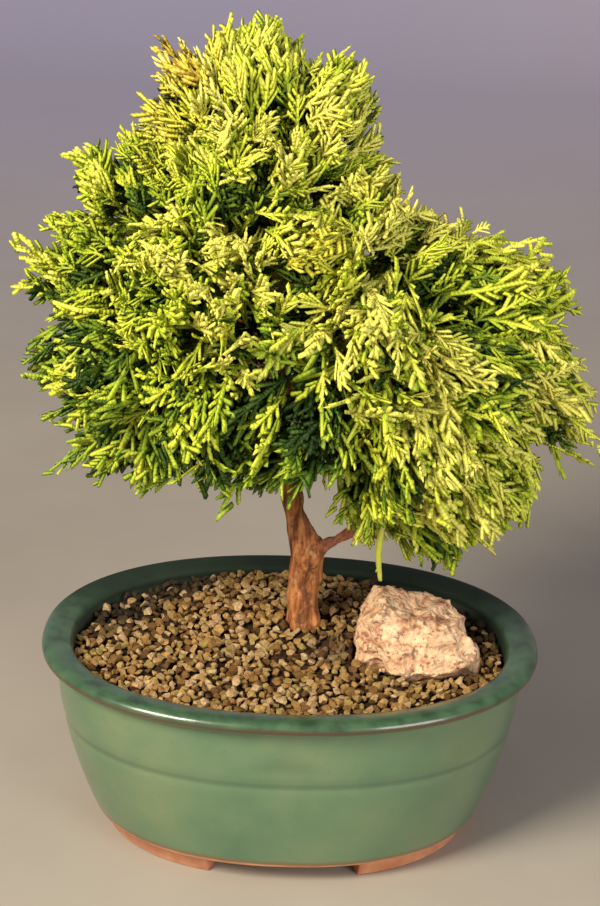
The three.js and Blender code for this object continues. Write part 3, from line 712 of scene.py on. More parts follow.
def shootMesh():
    # a smooth rod through the four points with pairs of small scale leaves along it
    knots = [potFoot + Vector(place[:3]) for place in shoot["line"]]
    knots = [2 * knots[0] - knots[1]] + knots + [2 * knots[-1] - knots[-2]]
    radii = [place[3] for place in shoot["line"]]
    radii = [radii[0]] + radii + [radii[-1]]
    stretches = len(shoot["line"]) - 1
    centres, widths = [], []
    for i in range(shoot["steps"] + 1):
        share = stretches * i / shoot["steps"]
        k = min(int(share), stretches - 1)
        t = share - k
        a, b, c, d = knots[k:k + 4]
        centres.append(0.5 * (2 * b + (c - a) * t + (2 * a - 5 * b + 4 * c - d) * t ** 2
                              + (3 * b - a - 3 * c + d) * t ** 3))
        widths.append(radii[k + 1] * (1 - t) + radii[k + 2] * t)
    points, faces, marks = [], [], []
    side, flat = Vector((1, 0, 0)), Vector((0, -1, 0))
    for i, (centre, width) in enumerate(zip(centres, widths)):
        for k in range(shoot["sides"]):
            angle = 2 * math.pi * k / shoot["sides"]
            points.append(centre + width * (math.cos(angle) * side + math.sin(angle) * flat))
            marks.append((0.6 + 0.3 * i / shoot["steps"], frond["scalePitch"] / 2))
    for i in range(shoot["steps"]):
        for k in range(shoot["sides"]):
            n = (k + 1) % shoot["sides"]
            low = i * shoot["sides"]
            faces.append((low + k, low + shoot["sides"] + k, low + shoot["sides"] + n, low + n))
    last = shoot["steps"] * shoot["sides"]
    faces.append(tuple(range(shoot["sides"])))
    faces.append(tuple(reversed(range(last, last + shoot["sides"]))))
    draw = random.Random(shoot["seed"])
    for i in range(shoot["scales"]):
        at = int((0.1 + 0.88 * i / shoot["scales"]) * shoot["steps"])
        down = (centres[at + 1] - centres[at]).normalized()
        angle = math.radians(shoot["scaleAngle"] * draw.uniform(0.7, 1.3)) * (1 if i % 2 else -1)
        along = (down * math.cos(angle) + side * math.sin(angle)).normalized()
        length, width, thick = shoot["scaleSize"]
        length *= draw.uniform(0.7, 1.2)
        addBranchlet(points, faces, marks, centres[at], along, flat, length, width, thick,
                     (0.6, draw.uniform(0.8, 1.1)), (0.0, 0.8), 0.0)
    mesh = newMesh("shoot", points, faces)
    tips, runs = zip(*marks)
    # a full sun field colours the shoot as lit as a frond facing the sky, partly as painted light
    writeFields(mesh, tip=tips, run=runs, tone=[1.0] * len(points), sun=[1.0] * len(points))
    return merged(mesh, facesOut=True)


tuft = {
    "spray": "spray_front_right_low",
    "place": (0.0292, -0.012, 0.1490),  # at the limb's end
    "fall": (-0.16, -0.13, -0.97),
    "spread": 0.38,
    "apart": 0.006,
    "fronds": 9,
    "seed": 5,
}


def tuftMesh():
    # a few short fronds that hang together, their flat sides to the front
    draw = random.Random(tuft["seed"])
    work = bmesh.new()
    for i in range(tuft["fronds"]):
        mesh = frondMesh("tufted", i)
        spread = Vector([draw.uniform(-1, 1) * tuft["spread"] for _ in range(3)])
        down = (Vector(tuft["fall"]) + spread).normalized()
        side = Vector((draw.uniform(-0.3, 0.3), 1, 0)).cross(down).normalized()
        turn = Matrix((side, down.cross(side), down)).transposed().to_4x4()
        root = potFoot + Vector(tuft["place"]) + tuft["apart"] * spread
        mesh.transform(Matrix.Translation(root) @ turn)
        count = len(mesh.vertices)
        # a sun field of 0.4 colours the tuft half lit, partly as painted light
        writeFields(mesh, tone=[draw.uniform(0.3, 1.0)] * count, sun=[0.4] * count)
        work.from_mesh(mesh)
        bpy.data.meshes.remove(mesh)
    mesh = bpy.data.meshes.new("tuft")
    work.to_mesh(mesh)
    work.free()
    return mesh


def addMesh(piece, mesh):
    # joins a mesh into a piece of one material, attributes and all
    work = bmesh.new()
    work.from_mesh(piece.data)
    work.from_mesh(mesh)
    work.to_mesh(piece.data)
    work.free()
    bpy.data.meshes.remove(mesh)


def between(ends, share):
    return ends[0] + (ends[1] - ends[0]) * share


def nearness(places, centre, radius, steepness):
    # 1 in the middle of a mass, falling to 0 at its radius
    away = np.linalg.norm((places - centre) / (1.0, massDepth, 1.0), axis=1)
    return np.clip(steepness - steepness * away / radius, 0.0, 1.0)


def addMasses(mesh):
    places = vertexArray(mesh) - np.array(potFoot)
    dent, gloom, glow, rust = (np.zeros(len(places)) for _ in range(4))
    for *centre, radius, depth, shade in masses.values():
        share = eased(nearness(places, centre, radius, 1.5))
        dent += share * depth
        # the leaves get painted shade in the hollows and painted light on the sunlit masses
        gloom += share * max(shade, 0.0)
        glow += share * max(-shade, 0.0)
    for *centre, radius, amount in browned.values():
        rust += amount * nearness(places, centre, radius, 1.6)
    writeFields(mesh, dent=dent, gloom=gloom, glow=glow, rust=rust)


def addFlow(mesh, rise):
    # the way the fronds run at each corner: out, and down or up by the spray's height
    places = vertexArray(mesh) - np.array(potFoot)
    out = places - np.array(crown["heart"])
    out[:, 2] = 0.0
    out /= np.maximum(np.linalg.norm(out, axis=1), 1e-6)[:, None]
    fromHeads = places[:, None, :] - np.array(crown["heads"])
    distance = np.linalg.norm(fromHeads, axis=2)
    fromHead = fromHeads[np.arange(len(places)), distance.argmin(axis=1)]
    fromHead[:, 2] = 0.0
    length = np.maximum(np.linalg.norm(fromHead, axis=1), crown["headReach"])
    flow = crown["fromAxis"] * out + crown["fromHead"] * fromHead / length[:, None]
    flow[:, 2] = between(crown["flow"], rise)
    mesh.attributes.new("flow", "FLOAT_VECTOR", "POINT").data.foreach_set("vector", flow.ravel())


def makeFoliage():
    copies = {kind: [bpy.data.objects.new(kind, frondMesh(kind, i)) for i in range(frond["variants"])]
              for kind in frondKinds}
    groups = {kind: collect(kind, objects) for kind, objects in copies.items()}
    groups["mixed"] = collect("mixed", copies["hanging"] + copies["tufted"])
    tree = foliageTree()
    heart = np.array(potFoot + Vector(crown["heart"]))
    triangles = 0
    for number, node in enumerate(sorted(n for n in frame["nodes"] if n.startswith("spray_"))):
        piece = mergedCopy(node, node.replace("spray_", "foliage_"))
        corners = vertexArray(piece.data)
        far = np.linalg.norm(corners - corners.mean(axis=0), axis=1)
        corners = corners[far < crown["stray"] * np.median(far)]
        mean = corners.mean(axis=0)
        spread = np.percentile(np.linalg.norm(corners - mean, axis=1), 90)
        reach = spread * crown["reachOverSpread"]
        outward = (mean - heart) / np.linalg.norm(mean - heart)
        centre = mean - outward * crown["meanOut"] * reach
        area = sum(polygon.area for polygon in piece.data.polygons)
        rise = (centre[2] - potFoot.z - crown["low"]) / (crown["high"] - crown["low"])
        rise = min(max(rise, 0.0), 1.0)
        mixedLow, mixedHigh = crown["mixed"]
        kind = "hanging" if rise < mixedLow else "tufted" if rise > mixedHigh else "mixed"
        used = [row for name, row in frondKinds.items() if kind in (name, "mixed")]
        fronds, length = (np.mean([row[key] for row in used]) for key in ("fronds", "length"))
        count = fronds * (reach / crown["usualReach"]) ** 2
        slot = slotOf(node)
        addMasses(piece.data)
        addFlow(piece.data, rise)
        useNodeTree(piece, tree, Density=count / area, Seed=crown["seed"] + number,
                    Centre=tuple(centre), Lie=crown["lie"], Scatter=crown["scatter"],
                    Droop=between(crown["droop"], rise), Length=float(length),
                    Reach=reach * crown["fullness"], Even=crown["even"],
                    Ragged=crown["ragged"][0], Lumps=crown["ragged"][1],
                    Deep=crown["deep"], Sway=crown["sway"][0], Clumps=crown["sway"][1],
                    CoreShare=crown["coreShare"], Fronds=groups[kind],
                    Kinds=len(groups[kind].objects) - 1, Material=leafMaterials[slot])
        if node == shoot["spray"]:
            addMesh(piece, shootMesh())
        if node == tuft["spray"]:
            addMesh(piece, tuftMesh())
        finishPiece(piece, slot, node)
        piece.data.calc_loop_triangles()
        triangles += len(piece.data.loop_triangles)
    bpy.data.collections.remove(groups["mixed"])
    for kind in frondKinds:
        discard(groups[kind])
    bpy.data.node_groups.remove(tree)
    print("foliage made:", triangles, "triangles")


makeFoliage()


grit = {
    "variants": 8,
    "corners": 15,  # of a grain, before the hull round them
    "size": 0.0047,
    "spacing": 0.0025,
    "densest": 400000.0,  # grains on a square metre
    "level": 0.2,  # they lie on faces that look up more than this
    "sink": 0.0015,
    "seed": 3,
    # the first colour is the bed between the grains, painted nearly black as the shade between them; the
    # rest are the grains' own tones
    "colours": ((0.0, (0.010, 0.005, 0.002)), (0.06, (0.08, 0.037, 0.010)),
                (0.22, (0.20, 0.105, 0.03)), (0.42, (0.33, 0.19, 0.06)), (0.58, (0.43, 0.27, 0.095)),
                (0.70, (0.29, 0.215, 0.06)), (0.84, (0.45, 0.285, 0.14)), (1.0, (0.51, 0.37, 0.19))),
    "speckle": (0.07, 0.033, 0.010),
    "shadowSpot": (0.017, -0.006, 0.074),  # painted shadow on the grit, between the trunk and the stone
    "shadowSpotColour": (0.03, 0.014, 0.008),
    "lipShadow": (0.014, 0.008, 0.004),  # painted shade of the lip on the grit, at the back on both sides
}


def grainMesh(number):
    draw = random.Random(300 + number)
    work = bmesh.new()
    stretch = (draw.uniform(0.8, 1.15), draw.uniform(0.75, 1.0), draw.uniform(0.55, 0.8))
    for _ in range(grit["corners"]):
        ray = Vector([draw.gauss(0, 1) for _ in range(3)]).normalized()
        reach = draw.uniform(0.42, 0.52)
        work.verts.new([ray[k] * stretch[k] * reach for k in range(3)])
    bmesh.ops.convex_hull(work, input=work.verts)
    loose = [v for v in work.verts if not v.link_faces]
    bmesh.ops.delete(work, geom=loose, context="VERTS")
    bmesh.ops.recalc_face_normals(work, faces=work.faces)
    mesh = bpy.data.meshes.new("grain%d" % number)
    work.to_mesh(mesh)
    work.free()
    return mesh


def gritTree():
    tree, given = newNodeTree("grit", Spacing="Float", Size="Float", Sink="Float", Seed="Int",
                              Grains="Collection", Material="Material")
    normal = addNode(tree, "GeometryNodeInputNormal").outputs[0]
    onTop = numberMath(tree, "GREATER_THAN", splitVector(tree, normal)["Z"], grit["level"])
    spread = addNode(tree, "GeometryNodeDistributePointsOnFaces", distribute_method="POISSON")
    for key, value in {"Mesh": given["Geometry"], "Selection": onTop, "Distance Min": given["Spacing"],
                       "Seed": given["Seed"]}.items():
        tree.links.new(value, spread.inputs[key])
    spread.inputs["Density Max"].default_value = grit["densest"]
    points = storeField(tree, spread.outputs["Points"], "tone", randomFloat(tree, 0.06, 1.0, 2))
    turn = vectorMath(tree, "MULTIPLY", randomVector(tree, 1.0, 6), (0.7, 0.7, math.pi))
    turned = addNode(tree, "FunctionNodeEulerToRotation", {0: turn})
    scale = product(tree, randomFloat(tree, 0.7, 1.25, 8), given["Size"])
    copies = copiesOn(tree, points, given["Grains"], grit["variants"] - 1, 4, turned.outputs[0], scale)
    # the bed keeps a tone of 0, so it is painted nearly black, as the shade between the grains
    bed = addNode(tree, "GeometryNodeSetPosition", {
        "Geometry": given["Geometry"], "Selection": onTop,
        "Offset": upward(tree, product(tree, given["Sink"], -1.0))})
    endNodeTree(tree, joined(tree, bed.outputs[0], copies), given["Material"])
    return tree


def gritMaterial():
    material, tree, shader, place = newMaterial("dryGrit", Roughness=0.85, Specular_IOR_Level=0.2)
    tone = shadeField(tree, "tone")
    colour = ramp(tree, tone, *grit["colours"])
    speckle = noiseAt(tree, place, 900.0, 4.0)
    colour = mixColour(tree, fade(tree, speckle, 0.35, 0.7, 0.5, 0.0), colour, grit["speckle"])
    # painted shadow: the grit is darkened round a spot between the trunk and the stone
    shadowSpot = fade(tree, distanceFrom(tree, place, grit["shadowSpot"]), 0.017, 0.005, 0.0, 0.7)
    colour = mixColour(tree, shadowSpot, colour, grit["shadowSpotColour"])
    offset, radius = aroundPot(tree, place)
    # painted shade of the lip: darker grains near the rim at the back on both sides
    aside = fade(tree, numberMath(tree, "ABSOLUTE", offset["X"]), 0.018, 0.040)
    lipShadow = product(tree, aside, fade(tree, offset["Y"], -0.012, 0.022), fade(tree, radius, 0.54, 0.74),
                      fade(tree, tone, 0.80, 0.84, 0.95, 0.3))
    colour = mixColour(tree, lipShadow, colour, grit["lipShadow"])
    addFinish(tree, shader, colour, speckle, 0.6, 0.0006)
    return material


def makeGrit():
    grains = collect("grains", [bpy.data.objects.new("grain%d" % i, grainMesh(i))
                                for i in range(grit["variants"])])
    tree = gritTree()
    piece = mergedCopy("gravel", "topDressing")
    useNodeTree(piece, tree, Spacing=grit["spacing"], Size=grit["size"], Sink=grit["sink"],
                Seed=grit["seed"], Grains=grains, Material=gritMaterial())
    finishPiece(piece, "gravel", "gravel", smooth=False)
    discard(grains)
    bpy.data.node_groups.remove(tree)
    print("grit made:", len(piece.data.polygons), "faces")


makeGrit()


rock = {
    "voxel": 0.0007,
    "smoothing": 3,
    "lumps": (0.0026, 75.0),  # height and scale of each layer of relief
    "chips": (0.0010, 240.0),
    "grains": (0.0004, 700.0),
    "peak": (0.036, -0.015, 0.112),  # where it is drawn up, over the pot's underside
    "peakReach": 0.024,
    "peakLift": (-0.0012, 0.0, 0.0042),
    "colours": ((0.34, (0.20, 0.075, 0.035)), (0.42, (0.48, 0.25, 0.13)),
                (0.52, (0.66, 0.43, 0.25)), (0.70, (0.80, 0.60, 0.38))),
    "blotch": (0.22, 0.09, 0.045),
    "speck": (0.14, 0.06, 0.035),
}


def remeshed(node, name, voxel, smoothing):
    piece = mergedCopy(node, name)
    cut = piece.modifiers.new("remesh", "REMESH")
    cut.mode = "VOXEL"
    cut.voxel_size = voxel
    soften = piece.modifiers.new("soften", "SMOOTH")
    soften.iterations = smoothing
    return bake(piece)


def vertexNormals(mesh):
    flat = np.empty(len(mesh.vertices) * 3, dtype=np.float32)
    mesh.vertex_normals.foreach_get("vector", flat)
    return flat.reshape(-1, 3).astype(float)


def noiseValues(places, scale, squeeze=1.0):
    return np.array([noise.noise(Vector((p[0], p[1], p[2] * squeeze)) * scale) for p in places])


def stoneMaterial():
    material, tree, shader, place = newMaterial("pittedStone", Roughness=0.88)
    colour = ramp(tree, noiseAt(tree, place, 150.0, 6.0, 0.7), *rock["colours"])
    blotch = noiseAt(tree, place, 190.0, 5.0, 0.6, stretch=(1.0, 1.0, 1.6))
    colour = mixColour(tree, fade(tree, blotch, 0.56, 0.64, 0.0, 0.7), colour, rock["blotch"])
    speck = noiseAt(tree, place, 420.0, 4.0, 0.7)
    colour = mixColour(tree, fade(tree, speck, 0.54, 0.64, 0.0, 0.85), colour, rock["speck"])
    pits = addNode(tree, "ShaderNodeTexVoronoi", {"Vector": place, "Scale": 230.0}).outputs["Distance"]
    height = numberMath(tree, "MULTIPLY_ADD", pits, 0.6, numberMath(tree, "SUBTRACT", 1.0, speck))
    height = numberMath(tree, "SUBTRACT", height, blotch)
    addFinish(tree, shader, colour, height, 0.7, 0.0012)
    return material


def makeStone():
    piece = remeshed("stone", "landscapeStone", rock["voxel"], rock["smoothing"])
    places, normals = vertexArray(piece.data), vertexNormals(piece.data)
    relief = np.zeros(len(places))
    for height, scale in (rock["lumps"], rock["chips"], rock["grains"]):
        relief += height * (1.0 - 2.0 * np.abs(noiseValues(places, scale))) - 0.5 * height
    peak = np.array(potFoot + Vector(rock["peak"]))
    near = np.clip(1.0 - np.linalg.norm(places - peak, axis=1) / rock["peakReach"], 0.0, 1.0)
    lift = eased(near)[:, None] * np.array(rock["peakLift"])
    setVertices(piece.data, places + normals * relief[:, None] + lift)
    paint(piece.data, stoneMaterial())
    finishPiece(piece, "stone", "stone")
    print("stone made:", len(piece.data.polygons), "faces")


makeStone()


bark = {
    "voxel": 0.0008,
    "smoothing": 4,
    "fibre": (0.0010, 420.0, 0.25),  # height, scale and squeeze along the trunk
    "lumps": (0.0026, 120.0, 0.75),
    "fadeTop": 0.16,  # height at which that relief would be gone
    "fadeRun": 0.04,  # and how far below it starts to fade
    "leastRelief": 0.35,  # share of it that the twigs keep
    "limb": ((0.008, 0.013, 0.111), (0.017, 0.009, 0.119), (0.027, 0.005, 0.129)),
    "limbSlim": 0.30,  # how much thinner it gets within the reach below
    "limbReach": 0.009,
    "limbStart": 0.003,  # where along it that begins
    "limbEase": 0.007,  # and how far on it is full
    "colours": ((0.30, (0.05, 0.012, 0.004)), (0.44, (0.22, 0.062, 0.014)),
                (0.56, (0.38, 0.14, 0.034)), (0.74, (0.52, 0.25, 0.075))),
    "peeled": (0.58, 0.34, 0.15),
    "old": (0.08, 0.02, 0.007),
    "crevice": (0.05, 0.014, 0.006),
    "limbColour": (0.42, 0.15, 0.09),
}


def slimLimb(places):
    line = [np.array(potFoot + Vector(place)) for place in bark["limb"]]
    result = places.copy()
    nearest = np.full(len(places), 1.0)
    for k in range(len(line) - 1):
        start, run = line[k], line[k + 1] - line[k]
        share = np.clip((places - start) @ run / (run @ run), 0.0, 1.0)
        on = start + share[:, None] * run
        away = np.linalg.norm(places - on, axis=1)
        close = away < np.minimum(nearest, bark["limbReach"])
        travelled = share * np.linalg.norm(run) + (np.linalg.norm(line[1] - line[0]) if k else 0.0)
        ease = np.clip((travelled - bark["limbStart"]) / bark["limbEase"], 0.0, 1.0)
        if k:
            ease = ease * np.clip(4.0 - 4.0 * share, 0.0, 1.0)
        slim = bark["limbSlim"] * ease
        moved = places + (on - places) * slim[:, None]
        result[close] = moved[close]
        nearest = np.minimum(nearest, away)
    return result


def barkMaterial():
    material, tree, shader, place = newMaterial("peelingBark", Roughness=0.8)
    fibre = noiseAt(tree, place, 480.0, 4.0, 0.6, stretch=(1.0, 1.0, 0.14))
    patch = noiseAt(tree, place, 130.0, 3.0, 0.6, stretch=(1.0, 1.0, 0.6))
    cloud = noiseAt(tree, place, 260.0, 4.0, 0.65)
    colour = ramp(tree, fibre, *bark["colours"])
    colour = mixColour(tree, fade(tree, patch, 0.56, 0.70, 0.0, 0.7), colour, bark["peeled"])
    colour = mixColour(tree, fade(tree, patch, 0.46, 0.36, 0.0, 0.75), colour, bark["old"])
    colour = mixColour(tree, fade(tree, cloud, 0.45, 0.34, 0.0, 0.6), colour, bark["crevice"])
    limb = fade(tree, distanceFrom(tree, place, bark["limb"][2]), 0.024, 0.014, 0.0, 0.55)
    colour = mixColour(tree, limb, colour, bark["limbColour"])
    addFinish(tree, shader, colour, numberMath(tree, "ADD", fibre, cloud), 0.8, 0.0012)
    return material


def makeTrunk():
    piece = remeshed("trunk", "trunkAndLimbs", bark["voxel"], bark["smoothing"])
    places, normals = vertexArray(piece.data), vertexNormals(piece.data)
    relief = np.zeros(len(places))
    for height, scale, squeeze in (bark["fibre"], bark["lumps"]):
        relief += height * noiseValues(places, scale, squeeze)
    left = (potFoot.z + bark["fadeTop"] - places[:, 2]) / bark["fadeRun"]
    relief *= np.clip(left, bark["leastRelief"], 1.0)
    setVertices(piece.data, slimLimb(places) + normals * relief[:, None])
    paint(piece.data, barkMaterial())
    finishPiece(piece, "bark", "trunk")
    print("trunk made:", len(piece.data.polygons), "faces")


makeTrunk()


pot = {
    "sides": 200,
    "ovalPower": 2.2,
    "wall": 0.007,
    "floor": 0.015,
    "feetIn": 0.0035,  # from the wall's foot to their outer face
    "footTop": 0.010,
    "footWidth": 0.011,
    "footSlot": 0.031,  # from the middle to each end of the feet
    "footTaper": 0.0015,
    "footSteps": 48,
    "drainRadius": 0.008,
    "drainOffset": 0.038,
    "wallFoot": (0.080, 0.0605, 0.009),  # half length, half width and height
    "wallTop": (0.095, 0.0695, 0.0745),
    "swell": 0.9,
    "groove": (0.050, 0.0022, 0.0005),  # height, half width and depth of the line round the wall
    "rings": 40,
    # inset and drop from the wall's foot, going outwards under the pot
    "underside": ((0.030, 0.0015), (0.006, 0.0015), (0.0025, 0.0012), (0.0008, 0.0004)),
    # the same from the top: out from the wall, round the rolled edge and in over a sloped face
    "lip": ((0.0052, 0.0072), (0.0036, 0.0066), (0.0020, 0.0056), (0.0009, 0.0046),
            (0.0002, 0.0038), (0.0, 0.0030), (0.0002, 0.0022), (0.0007, 0.0013),
            (0.0015, 0.0006), (0.0026, 0.0002), (0.0042, 0.0), (0.0070, 0.0003),
            (0.0095, 0.0008), (0.0112, 0.0014), (0.0121, 0.0024), (0.0126, 0.0040)),
    "insideHeights": (0.070, 0.060, 0.048, 0.036, 0.026, 0.019),
}


def ovalPoint(angle, halfLength, halfWidth, height):
    power = 2.0 / pot["ovalPower"]
    x, y = (math.copysign(abs(part) ** power, part) for part in (math.cos(angle), math.sin(angle)))
    return potFoot + Vector((halfLength * x, halfWidth * y, height))


def ovalRing(halfLength, halfWidth, height):
    return [ovalPoint(2 * math.pi * i / pot["sides"], halfLength, halfWidth, height)
            for i in range(pot["sides"])]


def wallSection(share):
    (l0, w0, z0), (l1, w1, z1) = pot["wallFoot"], pot["wallTop"]
    swell = math.sin(share * math.pi / 2) ** pot["swell"]
    return l0 + (l1 - l0) * swell, w0 + (w1 - w0) * swell, z0 + (z1 - z0) * share


def potProfile():
    # half length, half width and height of each ring, from the underside up and down inside
    halfLength, halfWidth = (potHigh.x - potLow.x) / 2, (potHigh.y - potLow.y) / 2
    top = potHigh.z - potLow.z
    l0, w0, z0 = pot["wallFoot"]
    z1 = pot["wallTop"][2]
    rings = [(l0 - inset, w0 - inset, z0 - drop) for inset, drop in pot["underside"]]
    groove, halfGroove, depth = pot["groove"]
    for i in range(pot["rings"] + 1):
        l, w, z = wallSection(i / pot["rings"])
        sunk = depth * math.exp(-((z - groove) / halfGroove) ** 2)
        rings.append((l - sunk, w - sunk, z))
    for inset, drop in pot["lip"]:
        rings.append((halfLength - inset, halfWidth - inset, top - drop))
    wall = pot["wall"]
    for z in pot["insideHeights"]:
        l, w, _ = wallSection((z - z0) / (z1 - z0))
        rings.append((l - wall, w - wall, z))
    l, w, _ = wallSection((pot["floor"] - z0) / (z1 - z0))
    rings.append((l - wall - 0.002, w - wall - 0.002, pot["floor"]))
    rings.append((l - 0.035, w - 0.035, pot["floor"]))
    return rings


def loft(rings):
    points = [p for ring in rings for p in ring]
    count = len(rings[0])
    faces = []
    for r in range(len(rings) - 1):
        for i in range(count):
            a, b = r * count + i, r * count + (i + 1) % count
            faces.append((a, b, b + count, a + count))
    faces.append(tuple(reversed(range(count))))
    last = (len(rings) - 1) * count
    faces.append(tuple(range(last, last + count)))
    return points, faces


def footSolid(side):
    # one curved foot, a slice of an oval ring, with its lower edges cut off by a millimetre
    l, w = pot["wallFoot"][0] - pot["feetIn"], pot["wallFoot"][1] - pot["feetIn"]
    inner, taper, top = pot["footWidth"], pot["footTaper"], pot["footTop"]
    outline = ((inner, top), (inner, 0.001), (inner - 0.001, 0.0),
               (taper + 0.001, 0.0), (taper, 0.001), (0.0, top))
    slot = math.acos((pot["footSlot"] / l) ** (pot["ovalPower"] / 2.0))
    steps = pot["footSteps"]
    sections = []
    for i in range(steps + 1):
        angle = -slot + 2 * slot * i / steps + (0 if side > 0 else math.pi)
        sections.append([ovalPoint(angle, l - inset, w - inset, z) for inset, z in outline])
    return loft(sections)


def applyBoolean(piece, other, operation):
    cut = piece.modifiers.new(operation.lower(), "BOOLEAN")
    cut.operation = operation
    cut.solver = "EXACT"
    cut.object = other
    bake(piece)
    deletePiece(other)


glaze = {
    "green": ((0.3, (0.073, 0.14, 0.078)), (0.5, (0.10, 0.167, 0.088)), (0.72, (0.135, 0.187, 0.094))),
    "fleck": (0.10, 0.085, 0.035),
    # painted shade, darker towards the right end of the wall
    "rightShade": (0.045, 0.07, 0.035),
    "groove": (0.035, 0.065, 0.045),  # darker along that line
    "lip": ((0.34, (0.014, 0.034, 0.016)), (0.48, (0.028, 0.068, 0.034)), (0.66, (0.045, 0.095, 0.048))),
    # painted shade on the inside wall under the lip
    "inside": (0.022, 0.034, 0.020),
    # painted shade, almost black, on the back of the lip
    "backLip": (0.003, 0.010, 0.004),
    "edge": (0.07, 0.032, 0.014),  # thin and brown on the lip's edge
    "roll": (0.30, 0.27, 0.15),  # and a painted highlight, pale, under it
    "foot": (0.16, 0.08, 0.03),  # last of the glaze above the bare clay
    "clay": ((0.3, (0.46, 0.17, 0.075)), (0.7, (0.66, 0.30, 0.16))),
    "clayLine": (0.0112, 0.0104),  # heights between which glaze gives way to clay
    "waver": 0.0016,  # how far this and the lip's lines wander up and down
}


def glazeMaterial():
    material, tree, shader, place = newMaterial("celadonGlaze", Coat_Roughness=0.08, Specular_IOR_Level=0.35)
    offset, radius = aroundPot(tree, place)
    height = offset["Z"]
    drift = numberMath(tree, "MULTIPLY_ADD", noiseAt(tree, place, 40.0), glaze["waver"], height)
    top = potHigh.z - potLow.z

    def band(outer, inner):
        # 0 at the first depth under the lip's top and 1 at the second
        return fade(tree, drift, top - outer, top - inner)

    colour = ramp(tree, noiseAt(tree, place, 26.0, 4.0, 0.6), *glaze["green"])
    fleck = noiseAt(tree, place, 420.0, 3.0, 0.7)
    colour = mixColour(tree, fade(tree, fleck, 0.58, 0.72, 0.0, 0.25), colour, glaze["fleck"])
    # painted shade: the glaze is darkened towards the right end
    colour = mixColour(tree, fade(tree, offset["X"], 0.02, 0.10, 0.0, 0.3), colour, glaze["rightShade"])
    # darker along the line round the wall
    fromLine = numberMath(tree, "ABSOLUTE", numberMath(tree, "SUBTRACT", height, pot["groove"][0]))
    colour = mixColour(tree, fade(tree, fromLine, 0.0003, 0.0020, 0.4, 0.0), colour, glaze["groove"])
    lip = ramp(tree, noiseAt(tree, place, 110.0, 3.0), *glaze["lip"])
    colour = mixColour(tree, product(tree, band(0.0040, 0.0016), 0.9), colour, lip)
    # painted shade on the inside wall just under the lip
    inside = product(tree, fade(tree, radius, 0.915, 0.895), fade(tree, height, 0.055, 0.062),
                     band(0.0012, 0.0035))
    colour = mixColour(tree, inside, colour, glaze["inside"])
    # painted shade: the back of the lip is made almost black
    backLip = product(tree, fade(tree, offset["Y"], 0.002, 0.045, 0.0, 0.93), band(0.0060, 0.0030))
    colour = mixColour(tree, backLip, colour, glaze["backLip"])
    outside = fade(tree, radius, 0.93, 0.96)
    edge = product(tree, band(0.0046, 0.0034), band(0.0010, 0.0022), outside, 0.8)
    colour = mixColour(tree, edge, colour, glaze["edge"])
    # painted highlight: a pale band on the rolled edge under the brown line
    roll = product(tree, band(0.0076, 0.0062), band(0.0040, 0.0050), outside, 0.3)
    colour = mixColour(tree, roll, colour, glaze["roll"])
    foot = fade(tree, drift, 0.0135, 0.0115, 0.0, 0.7)
    colour = mixColour(tree, foot, colour, glaze["foot"])
    clay = ramp(tree, noiseAt(tree, place, 120.0), *glaze["clay"])
    colour = mixColour(tree, fade(tree, drift, *glaze["clayLine"]), colour, clay)

    # bare clay is matt; the back of the lip and the inside shine less than the wall
    rough = fade(tree, drift, *glaze["clayLine"], 0.3, 0.85)
    rough = numberMath(tree, "MULTIPLY_ADD", backLip, 0.5, rough)
    rough = numberMath(tree, "MULTIPLY_ADD", inside, 0.3, rough)
    tree.links.new(rough, shader.inputs["Roughness"])
    coat = product(tree, fade(tree, backLip, 0.0, 0.6, 0.4, 0.0), fade(tree, inside, 0.0, 0.6, 1.0, 0.0))
    tree.links.new(coat, shader.inputs["Coat Weight"])
    addFinish(tree, shader, colour, noiseAt(tree, place, 60.0, 2.0), 0.25, 0.001)
    return material


def makePot():
    body = newMesh("glazedPot", *loft([ovalRing(*section) for section in potProfile()]))
    piece = newPiece("glazedPot", merged(body, facesOut=True))
    for side in (1, -1):
        foot = newPiece("foot", merged(newMesh("foot", *footSolid(side)), facesOut=True))
        applyBoolean(piece, foot, "UNION")
    for side in (1, -1):
        drill = bmesh.new()
        centre = potFoot + Vector((side * pot["drainOffset"], 0, pot["floor"] / 2))
        bmesh.ops.create_cone(drill, cap_ends=True, segments=40, radius1=pot["drainRadius"],
                              radius2=pot["drainRadius"], depth=2 * pot["floor"],
                              matrix=Matrix.Translation(centre))
        mesh = bpy.data.meshes.new("drill")
        drill.to_mesh(mesh)
        drill.free()
        applyBoolean(piece, newPiece("drill", mesh), "DIFFERENCE")
    paint(piece.data, glazeMaterial())
    finishPiece(piece, "pot_glaze", "pot")
    print("pot made:", len(piece.data.polygons), "faces")


makePot()


# the soil and the drainage screens keep their frame meshes
soil = {
    "nodes": ("soil",),
    "roughness": 0.95,
    "noise": (300.0, 5.0, 0.7),
    "bump": (0.8, 0.002),  # strength and depth
    "colours": ((0.35, (0.02, 0.012, 0.008)), (0.6, (0.08, 0.05, 0.03)), (0.8, (0.2, 0.14, 0.09))),
}
screens = {
    "nodes": ("drain_screen_left", "drain_screen_right"),
    "roughness": 0.5,
    "noise": (500.0, 3.0),
    "bump": (0.2, 0.0003),
    "colours": ((0.3, (0.012, 0.012, 0.012)), (0.8, (0.035, 0.034, 0.03))),
}


def paintNodes(name, plain):
    material, tree, shader, place = newMaterial(name, Roughness=plain["roughness"])
    lumps = noiseAt(tree, place, *plain["noise"])
    addFinish(tree, shader, ramp(tree, lumps, *plain["colours"]), lumps, *plain["bump"])
    for node in plain["nodes"]:
        paint(frame["nodes"][node].data, material)


paintNodes("dampSoil", soil)
paintNodes("screenPlastic", screens)
print("soil and screens painted")


